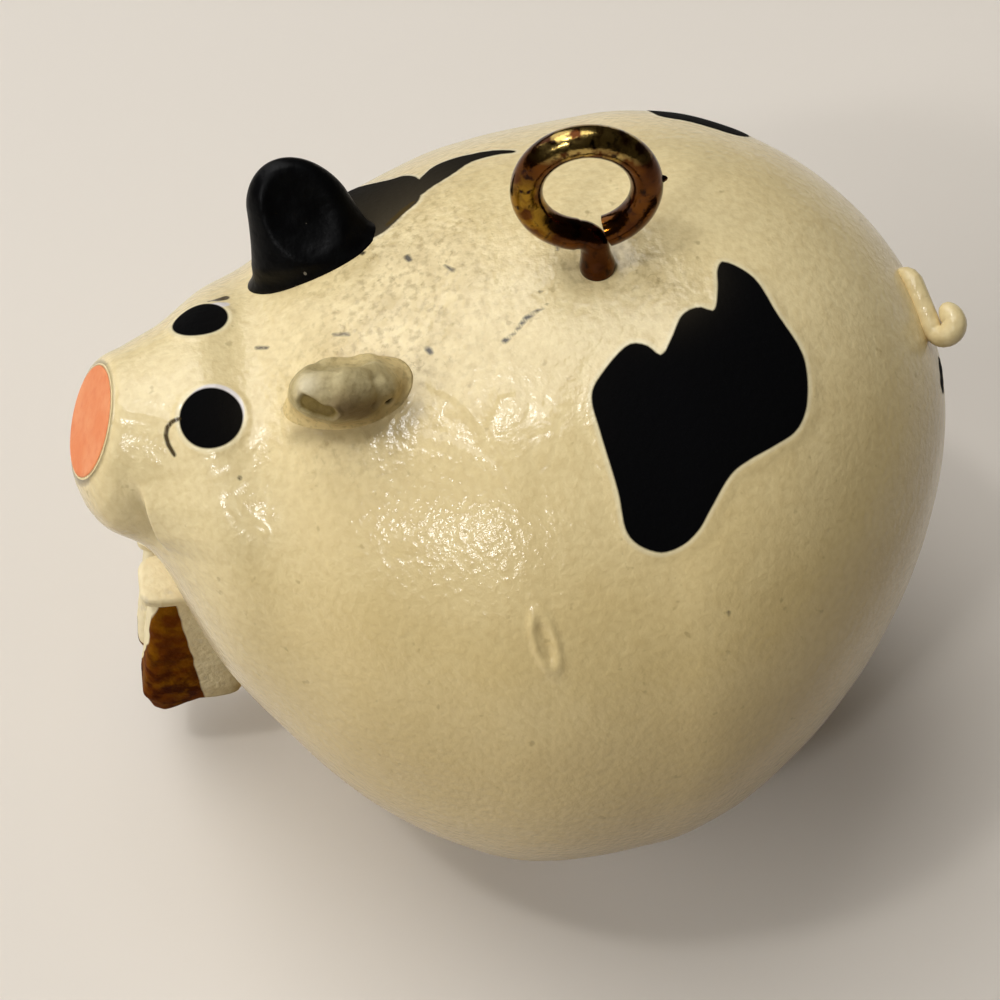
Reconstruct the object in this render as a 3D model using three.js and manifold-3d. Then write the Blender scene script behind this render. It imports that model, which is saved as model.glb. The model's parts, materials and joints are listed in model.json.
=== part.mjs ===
// Pig ornament: a fat round pig with stuck-on ears, legs and tail, and a brass screw eye in its back.
// Millimetres, +Z up. The pig faces -Y and its left side is +X. It rests on a small flat under its belly.
import * as THREE from 'three';
import { mergeVertices } from 'three/addons/utils/BufferGeometryUtils.js';
import Module from 'manifold-3d';

const wasm = await Module();
wasm.setup();
const degrees = THREE.MathUtils.degToRad;

// Body. A run is a distance back from the snout, a rise is a height above the lowest centre of the body.
const BODY_LENGTH = 46;
const BODY_WIDTH = 41.6;
const BODY_HEIGHT = 39.2;
const WIDEST_RUN = 28.5;
const LOWEST_RUN = 21.3;
const SNOUT_WIDTH = 6.8;
const SNOUT_RISE = 11.1;
const SNOUT_TILT = degrees(26);
const SNOUT_TILT_ENDS_RUN = 10;
const RUMP_RISE = 7.7;
const NECK_RUN = 8.5;
const NECK_DIP = 1.1;
const NECK_SPREAD = 3;
const SHOULDER_RUN = 21;
const SHOULDER_SWELL = 0.8;
const SHOULDER_SPREAD = 5;
const THROAT_RUN = 3.2;
const THROAT_DIP = 3;
const THROAT_SPREAD = 2.2;
const THROAT_STARTS_OVER = 1;
const BELLY_FLAT_DEPTH = 0.8;

// Exponents of the body's curves: how full the front and the rump are, and how the centre line sweeps up.
const FRONT_FULLNESS = 2.4;
const RUMP_FULLNESS = 1.72;
const CHIN_SWEEP = 2.3;
const RUMP_SWEEP = 1.34;

// Snout pad, a flat oval let into the end of the snout.
const PAD_RIM = 0.25;
const PAD_THICKNESS = 0.7;
const PAD_PROUD = 0.12;
const PAD_CLEARANCE = 0.2;
const PAD_BEVEL = 0.1;

// Ears, blunt leaves that lean out to the sides with their tips forward, each set by hand in its own place.
// The left one is a worn stub.
const LEFT_EAR_RUN = 13;
const LEFT_EAR_OFFSET = 3.5;
const LEFT_EAR_LENGTH = 3.9;
const LEFT_EAR_LEAN_OUT = degrees(38);
const RIGHT_EAR_RUN = 12.5;
const RIGHT_EAR_OFFSET = -6.1;
const RIGHT_EAR_LENGTH = 5.4;
const RIGHT_EAR_LEAN_OUT = degrees(32);
const EAR_BASE_BREADTH = 6.9;
const EAR_TIP_BREADTH = 4.6;
const EAR_BASE_THICKNESS = 4.4;
const EAR_TIP_THICKNESS = 2.4;
const EAR_TIP_FORWARD = 0.9;
const EAR_TIP_ROUNDING_SHARE = 0.44;
const EAR_LEAN_FORWARD = degrees(7);
const EAR_ROOT_DEPTH = 2;
const EAR_FLARE = 1.5;
const EAR_CUP_LENGTH_SHARE = 0.85;
const EAR_CUP_BREADTH = 3.6;
const EAR_CUP_DEPTH = 1;
const EAR_CUP_SHARE = 0.49;

// Legs. The front pair hangs close together under the chin, the hind pair wider under the rump.
const LEG_WIDTH = 3.2;
const LEG_DEPTH = 6;
const HOOF_HEIGHT = 12;
const HOOF_TOE = 1;
const HOOF_LEDGE = 0.35;
const SOLE_CLEARANCE = 3.7;
const SOLE_ROUNDING = 0.7;
const TOE_HEIGHT = 2.1;
const FRONT_LEG_RUN = 0.8;
const FRONT_LEG_APART = 3.7;
const FRONT_LEG_TOP_RISE = -1.5;
const HIND_LEG_FROM_RUMP = 11;
const HIND_LEG_APART = 9;
const HIND_LEG_TOP_RISE = -2;
const HIND_HOOF_HEIGHT = 3.6;

// Tail, a tapering strand that lies across the rump from its root to a turn and curls back over itself.
const TAIL_ROOT_FROM_RUMP = 3.2;
const TAIL_ROOT_OFFSET = -1.2;
const TAIL_TURN_FROM_RUMP = 2.5;
const TAIL_TURN_OFFSET = 1.9;
const TAIL_THICKNESS = 1.2;
const TAIL_TIP_THICKNESS = 1.05;
const TAIL_TIP_ROUNDING = 0.5;
const TAIL_CURL_RADIUS = 0.65;
const TAIL_CURL_END = degrees(135);
const TAIL_BEND_RADIUS = 0.7;
const TAIL_ROOT_DEPTH = 1.2;

// Screw eye, bent from one brass wire.
const EYE_RUN = 25.8;
const EYE_OFFSET = 0.3;
const EYE_OUTER_DIAMETER = 7.4;
const EYE_WIRE_DIAMETER = 1.45;
const EYE_STANDS_CLEAR = 1.3;
const EYE_BEND_RADIUS = 0.9;
const EYE_FREE_END_ANGLE = degrees(-70);
const EYE_LEAN_FORWARD = degrees(9.8);
const EYE_LEAN_RIGHT = degrees(9.3);
const EYE_TURN = degrees(84);
const SHANK_DEPTH = 9;
const SHANK_POINT_LENGTH = 1.6;
const SHANK_POINT_DIAMETER = 0.4;
const BORE_CLEARANCE = 0.2;

// Gap that a stuck-on piece keeps to the body, where the glue is.
const SEAT_GAP = 0.25;

// Facets.
const FRONT_SECTIONS = 22;
const RUMP_SECTIONS = 14;
const BODY_SIDES = 52;
const EAR_SECTIONS = 12;
const EAR_SIDES = 24;
const LEG_SIDES = 28;
const TAIL_STEPS = 40;
const TAIL_SIDES = 10;
const WIRE_STEPS = 72;
const WIRE_SIDES = 12;

// A closed skin over sections that have equally many points, with both ends fanned to their middles.
function loft(sections) {
  const sides = sections[0].length;
  const middle = (section) => section
    .reduce((sum, point) => sum.add(point), new THREE.Vector3())
    .divideScalar(sides);
  const first = sections[0];
  const last = sections[sections.length - 1];
  const points = [...sections.flat(), middle(first), middle(last)];
  const firstMiddle = points.length - 2;
  const lastMiddle = points.length - 1;
  const lastRow = (sections.length - 1) * sides;
  const faces = [];
  for (let side = 0; side < sides; side += 1) {
    const next = (side + 1) % sides;
    for (let row = 0; row < lastRow; row += sides) {
      faces.push([row + side, row + sides + side, row + next]);
      faces.push([row + next, row + sides + side, row + sides + next]);
    }
    faces.push([firstMiddle, side, next]);
    faces.push([lastMiddle, lastRow + next, lastRow + side]);
  }
  const volume = faces.reduce((sum, [a, b, c]) => {
    const normal = new THREE.Vector3().crossVectors(points[b], points[c]);
    return sum + points[a].dot(normal);
  }, 0);
  const outward = volume > 0 ? faces : faces.map(([a, b, c]) => [a, c, b]);
  const geometry = new THREE.BufferGeometry().setFromPoints(points);
  geometry.setIndex(outward.flat());
  return geometry;
}

// A strand of varying radius along a curve.
function strand(curve, steps, sides, radiusAt) {
  const frames = curve.computeFrenetFrames(steps);
  const sections = [];
  for (let step = 0; step <= steps; step += 1) {
    const share = step / steps;
    const centre = curve.getPointAt(share);
    const radius = radiusAt(share);
    sections.push(Array.from({ length: sides }, (_, side) => {
      const angle = 2 * Math.PI * side / sides;
      return centre.clone()
        .addScaledVector(frames.normals[step], radius * Math.cos(angle))
        .addScaledVector(frames.binormals[step], radius * Math.sin(angle));
    }));
  }
  return loft(sections);
}

// Solids for cutting and joining, and the way back to a geometry.
function solid(geometry) {
  const bare = new THREE.BufferGeometry();
  bare.setAttribute('position', geometry.getAttribute('position'));
  bare.setIndex(geometry.getIndex());
  const merged = mergeVertices(bare, 1e-5);
  return new wasm.Manifold(new wasm.Mesh({
    numProp: 3,
    vertProperties: new Float32Array(merged.getAttribute('position').array),
    triVerts: new Uint32Array(merged.getIndex().array),
  }));
}

function geometryOf(manifold) {
  const mesh = manifold.getMesh();
  const geometry = new THREE.BufferGeometry();
  geometry.setAttribute('position', new THREE.BufferAttribute(mesh.vertProperties, 3));
  geometry.setIndex(new THREE.BufferAttribute(mesh.triVerts, 1));
  return geometry;
}

// Body curves.
function halfWidth(run) {
  const snout = SNOUT_WIDTH / 2;
  const widest = BODY_WIDTH / 2;
  if (run < WIDEST_RUN) {
    return widest - (widest - snout) * (1 - run / WIDEST_RUN) ** FRONT_FULLNESS;
  }
  const share = Math.min((run - WIDEST_RUN) / (BODY_LENGTH - WIDEST_RUN), 1);
  return widest * (1 - share ** RUMP_FULLNESS) ** (1 / RUMP_FULLNESS);
}

function centreRise(run) {
  if (run < LOWEST_RUN) {
    return SNOUT_RISE * (1 - run / LOWEST_RUN) ** CHIN_SWEEP;
  }
  return RUMP_RISE * ((run - LOWEST_RUN) / (BODY_LENGTH - LOWEST_RUN)) ** RUMP_SWEEP;
}

function sectionTilt(run) {
  return SNOUT_TILT * Math.max(1 - run / SNOUT_TILT_ENDS_RUN, 0) ** 2;
}

// How far the skin departs from the plain body: neck and shoulder at the top, the throat underneath.
function swellAt(run, angle) {
  const bump = (centre, spread) => Math.exp(-(((run - centre) / spread) ** 2));
  const shoulder = SHOULDER_SWELL * bump(SHOULDER_RUN, SHOULDER_SPREAD);
  const neck = NECK_DIP * bump(NECK_RUN, NECK_SPREAD);
  const throat = THROAT_DIP * bump(THROAT_RUN, THROAT_SPREAD) * Math.min(run / THROAT_STARTS_OVER, 1);
  return (shoulder - neck) * (1 + Math.sin(angle)) / 2 - throat * (1 - Math.sin(angle)) / 2;
}

// A point of the body's skin. Angle 0 is the pig's left side and a quarter turn is the top.
function bodyPoint(run, angle) {
  const swell = swellAt(run, angle);
  const across = halfWidth(run) + swell;
  const lift = (halfWidth(run) * (BODY_HEIGHT / BODY_WIDTH) + swell) * Math.sin(angle);
  const tilt = sectionTilt(run);
  return new THREE.Vector3(
    across * Math.cos(angle),
    run + lift * Math.sin(tilt),
    centreRise(run) + lift * Math.cos(tilt),
  );
}

const TOP = Math.PI / 2;
const BOTTOM = -Math.PI / 2;

// The angle of the upper skin at a given offset to the pig's left.
function upperAngle(run, offset) {
  let angle = TOP;
  for (let pass = 0; pass < 6; pass += 1) {
    angle = Math.acos(offset / (halfWidth(run) + swellAt(run, angle)));
  }
  return angle;
}

function skinAbove(run, offset) {
  return bodyPoint(run, upperAngle(run, offset));
}

// The skin's outward direction.
function skinNormal(run, offset) {
  const step = 0.1;
  const back = skinAbove(run + step, offset).sub(skinAbove(run - step, offset));
  const left = skinAbove(run, offset + step).sub(skinAbove(run, offset - step));
  return left.cross(back).normalize();
}

// Sections crowd towards the snout and the rump, where the skin turns most.
const snoutCrowding = 1.2;
const poleShare = 0.2;
const runs = [
  ...Array.from({ length: FRONT_SECTIONS }, (_, i) => (
    WIDEST_RUN * (i / FRONT_SECTIONS) ** snoutCrowding
  )),
  ...Array.from({ length: RUMP_SECTIONS }, (_, i) => (
    WIDEST_RUN + (BODY_LENGTH - WIDEST_RUN) * Math.sin(TOP * (i + poleShare) / RUMP_SECTIONS)
  )),
];
const bodyForm = loft(runs.map((run) => Array.from({ length: BODY_SIDES }, (_, side) => (
  bodyPoint(run, 2 * Math.PI * side / BODY_SIDES)
))));
const bellyRise = Math.min(...runs.map((run) => bodyPoint(run, BOTTOM).z));
const tableRise = bellyRise + BELLY_FLAT_DEPTH;

// The body swollen by the seat gap trims whatever is stuck on it.
function swollenBody() {
  const swollen = bodyForm.clone();
  swollen.computeVertexNormals();
  const position = swollen.getAttribute('position');
  const normal = swollen.getAttribute('normal');
  for (let i = 0; i < position.count; i += 1) {
    position.setXYZ(
      i,
      position.getX(i) + SEAT_GAP * normal.getX(i),
      position.getY(i) + SEAT_GAP * normal.getY(i),
      position.getZ(i) + SEAT_GAP * normal.getZ(i),
    );
  }
  return solid(swollen);
}

const seat = swollenBody();

// Screw eye placement: the shank leaves the back here and leans forward and to the pig's right.
const eyeBase = skinAbove(EYE_RUN, EYE_OFFSET);
const eyeAxis = new THREE.Vector3(
  -Math.sin(EYE_LEAN_RIGHT),
  -Math.sin(EYE_LEAN_FORWARD),
  1,
).normalize();
const eyePlacement = new THREE.Matrix4()
  .makeRotationFromQuaternion(new THREE.Quaternion().setFromUnitVectors(
    new THREE.Vector3(0, 0, 1),
    eyeAxis,
  ))
  .multiply(new THREE.Matrix4().makeRotationZ(EYE_TURN))
  .setPosition(eyeBase);

// Snout face: its own frame has +Z pointing out of the snout.
const snoutPlacement = new THREE.Matrix4()
  .makeRotationX(Math.PI / 2 - SNOUT_TILT)
  .setPosition(new THREE.Vector3(0, 0, SNOUT_RISE));
const snoutAspect = BODY_HEIGHT / BODY_WIDTH;

function ovalPlate(halfBreadth, thickness, bevel) {
  const outline = new THREE.Shape();
  const inner = halfBreadth - bevel;
  outline.absellipse(0, 0, inner, inner * snoutAspect, 0, 2 * Math.PI);
  return new THREE.ExtrudeGeometry(outline, {
    depth: thickness - 2 * bevel,
    bevelThickness: bevel,
    bevelSize: bevel,
    bevelSegments: 2,
    bevelEnabled: bevel > 0,
    curveSegments: 20,
  }).translate(0, 0, bevel);
}

const padHalfBreadth = SNOUT_WIDTH / 2 - PAD_RIM - PAD_CLEARANCE;
const padFloor = PAD_PROUD - PAD_THICKNESS - PAD_CLEARANCE;

function bodyGeometry() {
  const cutSize = 2 * BODY_LENGTH;
  const table = new THREE.BoxGeometry(cutSize, cutSize, cutSize)
    .translate(0, BODY_LENGTH / 2, tableRise - cutSize / 2);
  const boreRadius = EYE_WIRE_DIAMETER / 2 + BORE_CLEARANCE;
  const boreDepth = SHANK_DEPTH + BORE_CLEARANCE;
  const aboveBack = EYE_STANDS_CLEAR;
  const bore = new THREE.CylinderGeometry(boreRadius, boreRadius, boreDepth + aboveBack, 24)
    .rotateX(Math.PI / 2)
    .translate(0, 0, (aboveBack - boreDepth) / 2)
    .applyMatrix4(eyePlacement);
  const recess = ovalPlate(padHalfBreadth + PAD_CLEARANCE, PAD_THICKNESS - padFloor, 0)
    .translate(0, 0, padFloor)
    .applyMatrix4(snoutPlacement);
  return geometryOf(solid(bodyForm)
    .subtract(solid(table))
    .subtract(solid(bore))
    .subtract(solid(recess)));
}

function snoutPadGeometry() {
  return ovalPlate(padHalfBreadth, PAD_THICKNESS, PAD_BEVEL)
    .translate(0, 0, padFloor + PAD_CLEARANCE)
    .applyMatrix4(snoutPlacement);
}

// An ear is lofted along its own +Z, broad in Y, cupped on its inward side and trimmed by the body.
function earGeometry(side, run, offset, length, leanOut) {
  const sections = [];
  for (let i = 0; i <= EAR_SECTIONS; i += 1) {
    const share = Math.sin(TOP * i / EAR_SECTIONS);
    const height = share * (length + EAR_ROOT_DEPTH) - EAR_ROOT_DEPTH;
    const along = THREE.MathUtils.clamp(height / length, 0, 1);
    const flare = (1 - along) ** EAR_FLARE;
    const tip = Math.max((along - 1) / EAR_TIP_ROUNDING_SHARE + 1, 0);
    const round = Math.sqrt(Math.max(1 - tip * tip, 0.01));
    const halfBreadth = THREE.MathUtils.lerp(EAR_TIP_BREADTH, EAR_BASE_BREADTH, flare) / 2 * round;
    const halfThickness = THREE.MathUtils.lerp(EAR_TIP_THICKNESS, EAR_BASE_THICKNESS, flare) / 2 * round;
    const forward = EAR_TIP_FORWARD * along;
    sections.push(Array.from({ length: EAR_SIDES }, (_, point) => {
      const angle = 2 * Math.PI * point / EAR_SIDES;
      return new THREE.Vector3(
        halfThickness * Math.cos(angle),
        halfBreadth * Math.sin(angle) - forward,
        height,
      );
    }));
  }
  const cupFlare = (1 - EAR_CUP_SHARE) ** EAR_FLARE;
  const cupFace = -side * THREE.MathUtils.lerp(EAR_TIP_THICKNESS, EAR_BASE_THICKNESS, cupFlare) / 2;
  const cup = new THREE.SphereGeometry(1, 20, 12)
    .scale(EAR_CUP_DEPTH, EAR_CUP_BREADTH / 2, EAR_CUP_LENGTH_SHARE * length / 2)
    .translate(cupFace, -EAR_TIP_FORWARD * EAR_CUP_SHARE, EAR_CUP_SHARE * length);
  const placement = new THREE.Matrix4()
    .makeRotationY(side * leanOut)
    .multiply(new THREE.Matrix4().makeRotationX(EAR_LEAN_FORWARD))
    .setPosition(skinAbove(run, offset));
  const leaf = geometryOf(solid(loft(sections)).subtract(solid(cup))).applyMatrix4(placement);
  return geometryOf(solid(leaf).subtract(seat));
}

// A leg is lofted upwards from its sole, with rounded square sections and a ledge above the hoof.
function legGeometry(side, toeRun, apart, topRise, hoofHeight) {
  const soleRise = tableRise + SOLE_CLEARANCE;
  const ankleRise = soleRise + hoofHeight;
  const rows = [
    { rise: soleRise, front: HOOF_TOE, inset: SOLE_ROUNDING },
    { rise: soleRise + SOLE_ROUNDING, front: HOOF_TOE / 3, inset: SOLE_ROUNDING / 5 },
    { rise: soleRise + TOE_HEIGHT, front: 0, inset: 0 },
    { rise: ankleRise - HOOF_LEDGE, front: HOOF_TOE, inset: HOOF_LEDGE },
    { rise: ankleRise, front: HOOF_TOE, inset: HOOF_LEDGE },
    { rise: ankleRise + HOOF_LEDGE, front: HOOF_TOE - HOOF_LEDGE, inset: 0 },
    { rise: topRise, front: HOOF_TOE - HOOF_LEDGE, inset: 0 },
  ];
  const centreX = side * apart / 2;
  const backRun = toeRun + LEG_DEPTH;
  const squareness = 0.5;
  const sections = rows.map(({ rise, front, inset }) => {
    const frontRun = toeRun + front;
    const halfDepth = (backRun - frontRun) / 2 - inset / 2;
    const halfBreadth = LEG_WIDTH / 2 - inset;
    return Array.from({ length: LEG_SIDES }, (_, point) => {
      const angle = 2 * Math.PI * point / LEG_SIDES;
      const across = Math.sign(Math.cos(angle)) * Math.abs(Math.cos(angle)) ** squareness;
      const back = Math.sign(Math.sin(angle)) * Math.abs(Math.sin(angle)) ** squareness;
      return new THREE.Vector3(
        centreX + halfBreadth * across,
        (frontRun + backRun) / 2 + halfDepth * back,
        rise,
      );
    });
  });
  return geometryOf(solid(loft(sections)).subtract(seat));
}

// The tail's strand comes out of the rump, bends to lie on it and curls outwards and back at its turn.
function tailGeometry() {
  const rootRun = BODY_LENGTH - TAIL_ROOT_FROM_RUMP;
  const turnRun = BODY_LENGTH - TAIL_TURN_FROM_RUMP;
  const root = skinAbove(rootRun, TAIL_ROOT_OFFSET);
  const along = skinAbove(turnRun, TAIL_TURN_OFFSET).sub(root);
  const lieLength = along.length();
  along.normalize();
  const outward = skinNormal(rootRun, TAIL_ROOT_OFFSET)
    .add(skinNormal(turnRun, TAIL_TURN_OFFSET))
    .projectOnPlane(along)
    .normalize();
  const lie = SEAT_GAP + TAIL_THICKNESS / 2;
  const bendRise = lie - TAIL_BEND_RADIUS;
  const route = new THREE.Path();
  route.moveTo(0, bendRise - TAIL_ROOT_DEPTH);
  route.lineTo(0, bendRise);
  route.absarc(TAIL_BEND_RADIUS, bendRise, TAIL_BEND_RADIUS, Math.PI, TOP, true);
  route.lineTo(lieLength, lie);
  route.absarc(lieLength, lie + TAIL_CURL_RADIUS, TAIL_CURL_RADIUS, -TOP, TAIL_CURL_END, false);
  const points = route.getSpacedPoints(2 * TAIL_STEPS)
    .map(({ x, y }) => root.clone().addScaledVector(along, x).addScaledVector(outward, y));
  const curve = new THREE.CatmullRomCurve3(points);
  const tipShare = TAIL_TIP_ROUNDING / route.getLength();
  const radiusAt = (share) => {
    const taper = THREE.MathUtils.lerp(TAIL_THICKNESS, TAIL_TIP_THICKNESS, share) / 2;
    const tip = Math.max((share - 1 + tipShare) / tipShare, 0);
    return taper * Math.sqrt(Math.max(1 - tip * tip, 0.04));
  };
  const roll = solid(strand(curve, TAIL_STEPS, TAIL_SIDES, radiusAt));
  return geometryOf(roll.subtract(seat));
}

// The wire runs up the shank, bends out at the neck and goes once round to its free end.
function screwEyeGeometry() {
  const ringRadius = (EYE_OUTER_DIAMETER - EYE_WIRE_DIAMETER) / 2;
  const ringCentre = EYE_STANDS_CLEAR + EYE_OUTER_DIAMETER / 2;
  const reach = ringRadius + EYE_BEND_RADIUS;
  const bendStart = ringCentre - Math.sqrt(reach ** 2 - EYE_BEND_RADIUS ** 2);
  const bendAngle = Math.acos(EYE_BEND_RADIUS / reach);
  const route = new THREE.Path();
  route.moveTo(0, -SHANK_DEPTH);
  route.lineTo(0, bendStart);
  route.absarc(-EYE_BEND_RADIUS, bendStart, EYE_BEND_RADIUS, 0, bendAngle, false);
  route.absarc(0, ringCentre, ringRadius, bendAngle + Math.PI, EYE_FREE_END_ANGLE, true);
  const points = route.getSpacedPoints(2 * WIRE_STEPS)
    .map(({ x, y }) => new THREE.Vector3(x, 0, y));
  const curve = new THREE.CatmullRomCurve3(points);
  const pointShare = SHANK_POINT_LENGTH / route.getLength();
  const radiusAt = (share) => THREE.MathUtils.lerp(
    SHANK_POINT_DIAMETER,
    EYE_WIRE_DIAMETER,
    Math.min(share / pointShare, 1),
  ) / 2;
  return strand(curve, WIRE_STEPS, WIRE_SIDES, radiusAt).applyMatrix4(eyePlacement);
}

// Finishes.
const creamPaint = { color: '#d9cb9c', roughness: 0.35, metalness: 0 };
const blackPaint = { color: '#14161a', roughness: 0.35, metalness: 0 };
const pinkPaint = { color: '#f0925f', roughness: 0.55, metalness: 0 };
const agedBrass = { color: '#8a6a24', roughness: 0.3, metalness: 1 };

const pig = new THREE.Group();

function addPiece(name, geometry, finish) {
  const mesh = new THREE.Mesh(geometry, new THREE.MeshStandardMaterial(finish));
  mesh.name = name;
  pig.add(mesh);
}

addPiece('body', bodyGeometry(), creamPaint);
addPiece('snout_pad', snoutPadGeometry(), pinkPaint);
addPiece(
  'left_ear',
  earGeometry(1, LEFT_EAR_RUN, LEFT_EAR_OFFSET, LEFT_EAR_LENGTH, LEFT_EAR_LEAN_OUT),
  creamPaint,
);
addPiece(
  'right_ear',
  earGeometry(-1, RIGHT_EAR_RUN, RIGHT_EAR_OFFSET, RIGHT_EAR_LENGTH, RIGHT_EAR_LEAN_OUT),
  blackPaint,
);
for (const [name, side] of [['left', 1], ['right', -1]]) {
  addPiece(
    `front_${name}_leg`,
    legGeometry(side, FRONT_LEG_RUN, FRONT_LEG_APART, FRONT_LEG_TOP_RISE, HOOF_HEIGHT),
    creamPaint,
  );
  addPiece(
    `hind_${name}_leg`,
    legGeometry(side, BODY_LENGTH - HIND_LEG_FROM_RUMP, HIND_LEG_APART, HIND_LEG_TOP_RISE, HIND_HOOF_HEIGHT),
    creamPaint,
  );
}
addPiece('tail', tailGeometry(), creamPaint);
addPiece('screw_eye', screwEyeGeometry(), agedBrass);

// The origin is under the middle of the pig, on the table.
const extent = new THREE.Box3().setFromObject(pig);
pig.position.set(0, -(extent.min.y + extent.max.y) / 2, -extent.min.z);

export default pig;
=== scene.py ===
import json
import math

import bpy
import numpy as np
from mathutils import Matrix, Vector, noise


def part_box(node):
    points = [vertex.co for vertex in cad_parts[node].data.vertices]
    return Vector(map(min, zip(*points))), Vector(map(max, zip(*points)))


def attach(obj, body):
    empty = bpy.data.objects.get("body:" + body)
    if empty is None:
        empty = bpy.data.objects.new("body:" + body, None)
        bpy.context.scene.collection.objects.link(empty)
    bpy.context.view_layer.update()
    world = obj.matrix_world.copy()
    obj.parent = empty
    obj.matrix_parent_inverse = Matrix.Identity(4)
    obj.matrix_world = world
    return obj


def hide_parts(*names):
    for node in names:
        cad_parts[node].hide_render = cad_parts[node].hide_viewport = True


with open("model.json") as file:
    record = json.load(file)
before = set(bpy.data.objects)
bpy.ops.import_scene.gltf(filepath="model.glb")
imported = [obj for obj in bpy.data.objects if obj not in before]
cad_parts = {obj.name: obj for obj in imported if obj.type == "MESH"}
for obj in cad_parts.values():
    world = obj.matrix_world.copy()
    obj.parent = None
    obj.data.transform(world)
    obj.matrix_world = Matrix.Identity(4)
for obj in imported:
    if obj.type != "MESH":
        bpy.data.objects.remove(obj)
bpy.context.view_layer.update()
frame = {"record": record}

# The place: a plain pale table under soft studio light. A wide lamp hangs over the pig, weaker ones stand
# beside, before and behind it, and two small ones give the glints on its shoulder and cheek.
MM = 0.001
CAMERA_PLACE = Vector((72.74, -17.17, 127.19))
CAMERA_AIM = Vector((-9.97, 2.11, 3.54))
CAMERA_ROLL = math.radians(5.39)
CAMERA_LENS = 83.66
TABLE_SIZE = 2.4
TABLE_COLOUR, TABLE_BOUNCE = "#E9E1D6", "#87785C"
SKY_COLOUR, WALL_COLOUR = "#F2DFBE", "#DDD5CA"
SKY_STRENGTH = 0.04


def linear(hex_colour):
    """The linear colour of an sRGB hex value."""
    parts = [int(hex_colour[i:i + 2], 16) / 255 for i in (1, 3, 5)]
    return tuple(c / 12.92 if c <= 0.04045 else ((c + 0.055) / 1.055) ** 2.4 for c in parts) + (1.0,)


def set_inputs(tree, made, inputs):
    """Gives each named input of a node its value, hex colour, or link from another node's output."""
    for name, value in inputs.items():
        if isinstance(value, bpy.types.NodeSocket):
            tree.links.new(value, made.inputs[name])
        else:
            made.inputs[name].default_value = linear(value) if isinstance(value, str) else value


def add_node(tree, kind, inputs=(), **settings):
    """A new node with its settings and its inputs."""
    made = tree.nodes.new(kind)
    for name, value in settings.items():
        setattr(made, name, value)
    set_inputs(tree, made, dict(inputs))
    return made


def maths(tree, operation, first, second=0.0):
    """The result of one of the sums on two numbers."""
    return add_node(tree, "ShaderNodeMath", {0: first, 1: second}, operation=operation).outputs[0]


def mix(tree, share, first, second):
    """The second colour laid over the first one by the given share."""
    return add_node(tree, "ShaderNodeMix", {0: share, 6: first, 7: second}, data_type="RGBA").outputs[2]


def new_finish(name):
    """An empty material with its shader and the place on the piece in millimetres."""
    material = bpy.data.materials.new(name)
    material.use_nodes = True
    tree = material.node_tree
    tree.nodes.clear()
    shader = add_node(tree, "ShaderNodeBsdfPrincipled")
    add_node(tree, "ShaderNodeOutputMaterial", {"Surface": shader.outputs["BSDF"]})
    place = add_node(tree, "ShaderNodeTexCoord").outputs["Object"]
    place = add_node(tree, "ShaderNodeVectorMath", {0: place, "Scale": 1 / MM}, operation="SCALE")
    return material, tree, shader, place.outputs["Vector"]


scene = bpy.context.scene
scene.view_settings.view_transform = "Standard"
camera = bpy.data.objects.new("camera", bpy.data.cameras.new("camera"))
camera.data.lens = CAMERA_LENS
camera.data.sensor_width = 36
camera.data.clip_start = 0.005
look = (CAMERA_AIM - CAMERA_PLACE).to_track_quat("-Z", "Y").to_matrix().to_4x4()
camera.matrix_world = Matrix.Translation(CAMERA_PLACE * MM) @ look @ Matrix.Rotation(CAMERA_ROLL, 4, "Z")
scene.collection.objects.link(camera)
scene.camera = camera


def softbox(name, toward, distance, size, power, glints=True):
    """A lamp of a width and length in metres that shines on the pig's middle from the given direction."""
    lamp = bpy.data.objects.new(name, bpy.data.lights.new(name, "AREA"))
    lamp.data.shape = "RECTANGLE"
    lamp.data.size, lamp.data.size_y = size
    lamp.data.energy = power
    lamp.visible_glossy = glints
    place = Vector(toward).normalized() * distance
    middle = Vector((0, 0, 0.02))
    facing = place.to_track_quat("Z", "Y").to_matrix().to_4x4()
    lamp.matrix_world = Matrix.Translation(middle + place) @ facing
    scene.collection.objects.link(lamp)


softbox("main_lamp", (-0.28, -0.32, 0.91), 1.50, (1.10, 1.10), 10.8)
softbox("window_lamp", (-0.70, -0.46, 0.54), 1.20, (0.80, 0.80), 2.8)
softbox("front_lamp", (0.25, -0.88, 0.40), 0.60, (0.35, 0.35), 1.50, glints=False)
softbox("back_lamp", (-0.10, 0.85, 0.50), 0.60, (0.40, 0.40), 0.40, glints=False)
softbox("shoulder_lamp", (0.04, -0.44, 0.90), 1.00, (0.08, 0.07), 1.05)
softbox("cheek_lamp", (0.55, -0.52, 0.66), 0.60, (0.05, 0.04), 0.48)

world = bpy.data.worlds.new("sky")
world.use_nodes = True
tree = world.node_tree
tree.nodes.clear()
glow = add_node(tree, "ShaderNodeBackground", {"Color": SKY_COLOUR, "Strength": SKY_STRENGTH})
wall = add_node(tree, "ShaderNodeBackground", {"Color": WALL_COLOUR, "Strength": 1.0})
seen = add_node(tree, "ShaderNodeLightPath").outputs["Is Camera Ray"]
behind = add_node(tree, "ShaderNodeMixShader", {0: seen, 1: glow.outputs[0], 2: wall.outputs[0]})
add_node(tree, "ShaderNodeOutputWorld", {"Surface": behind.outputs[0]})
scene.world = world

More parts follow.
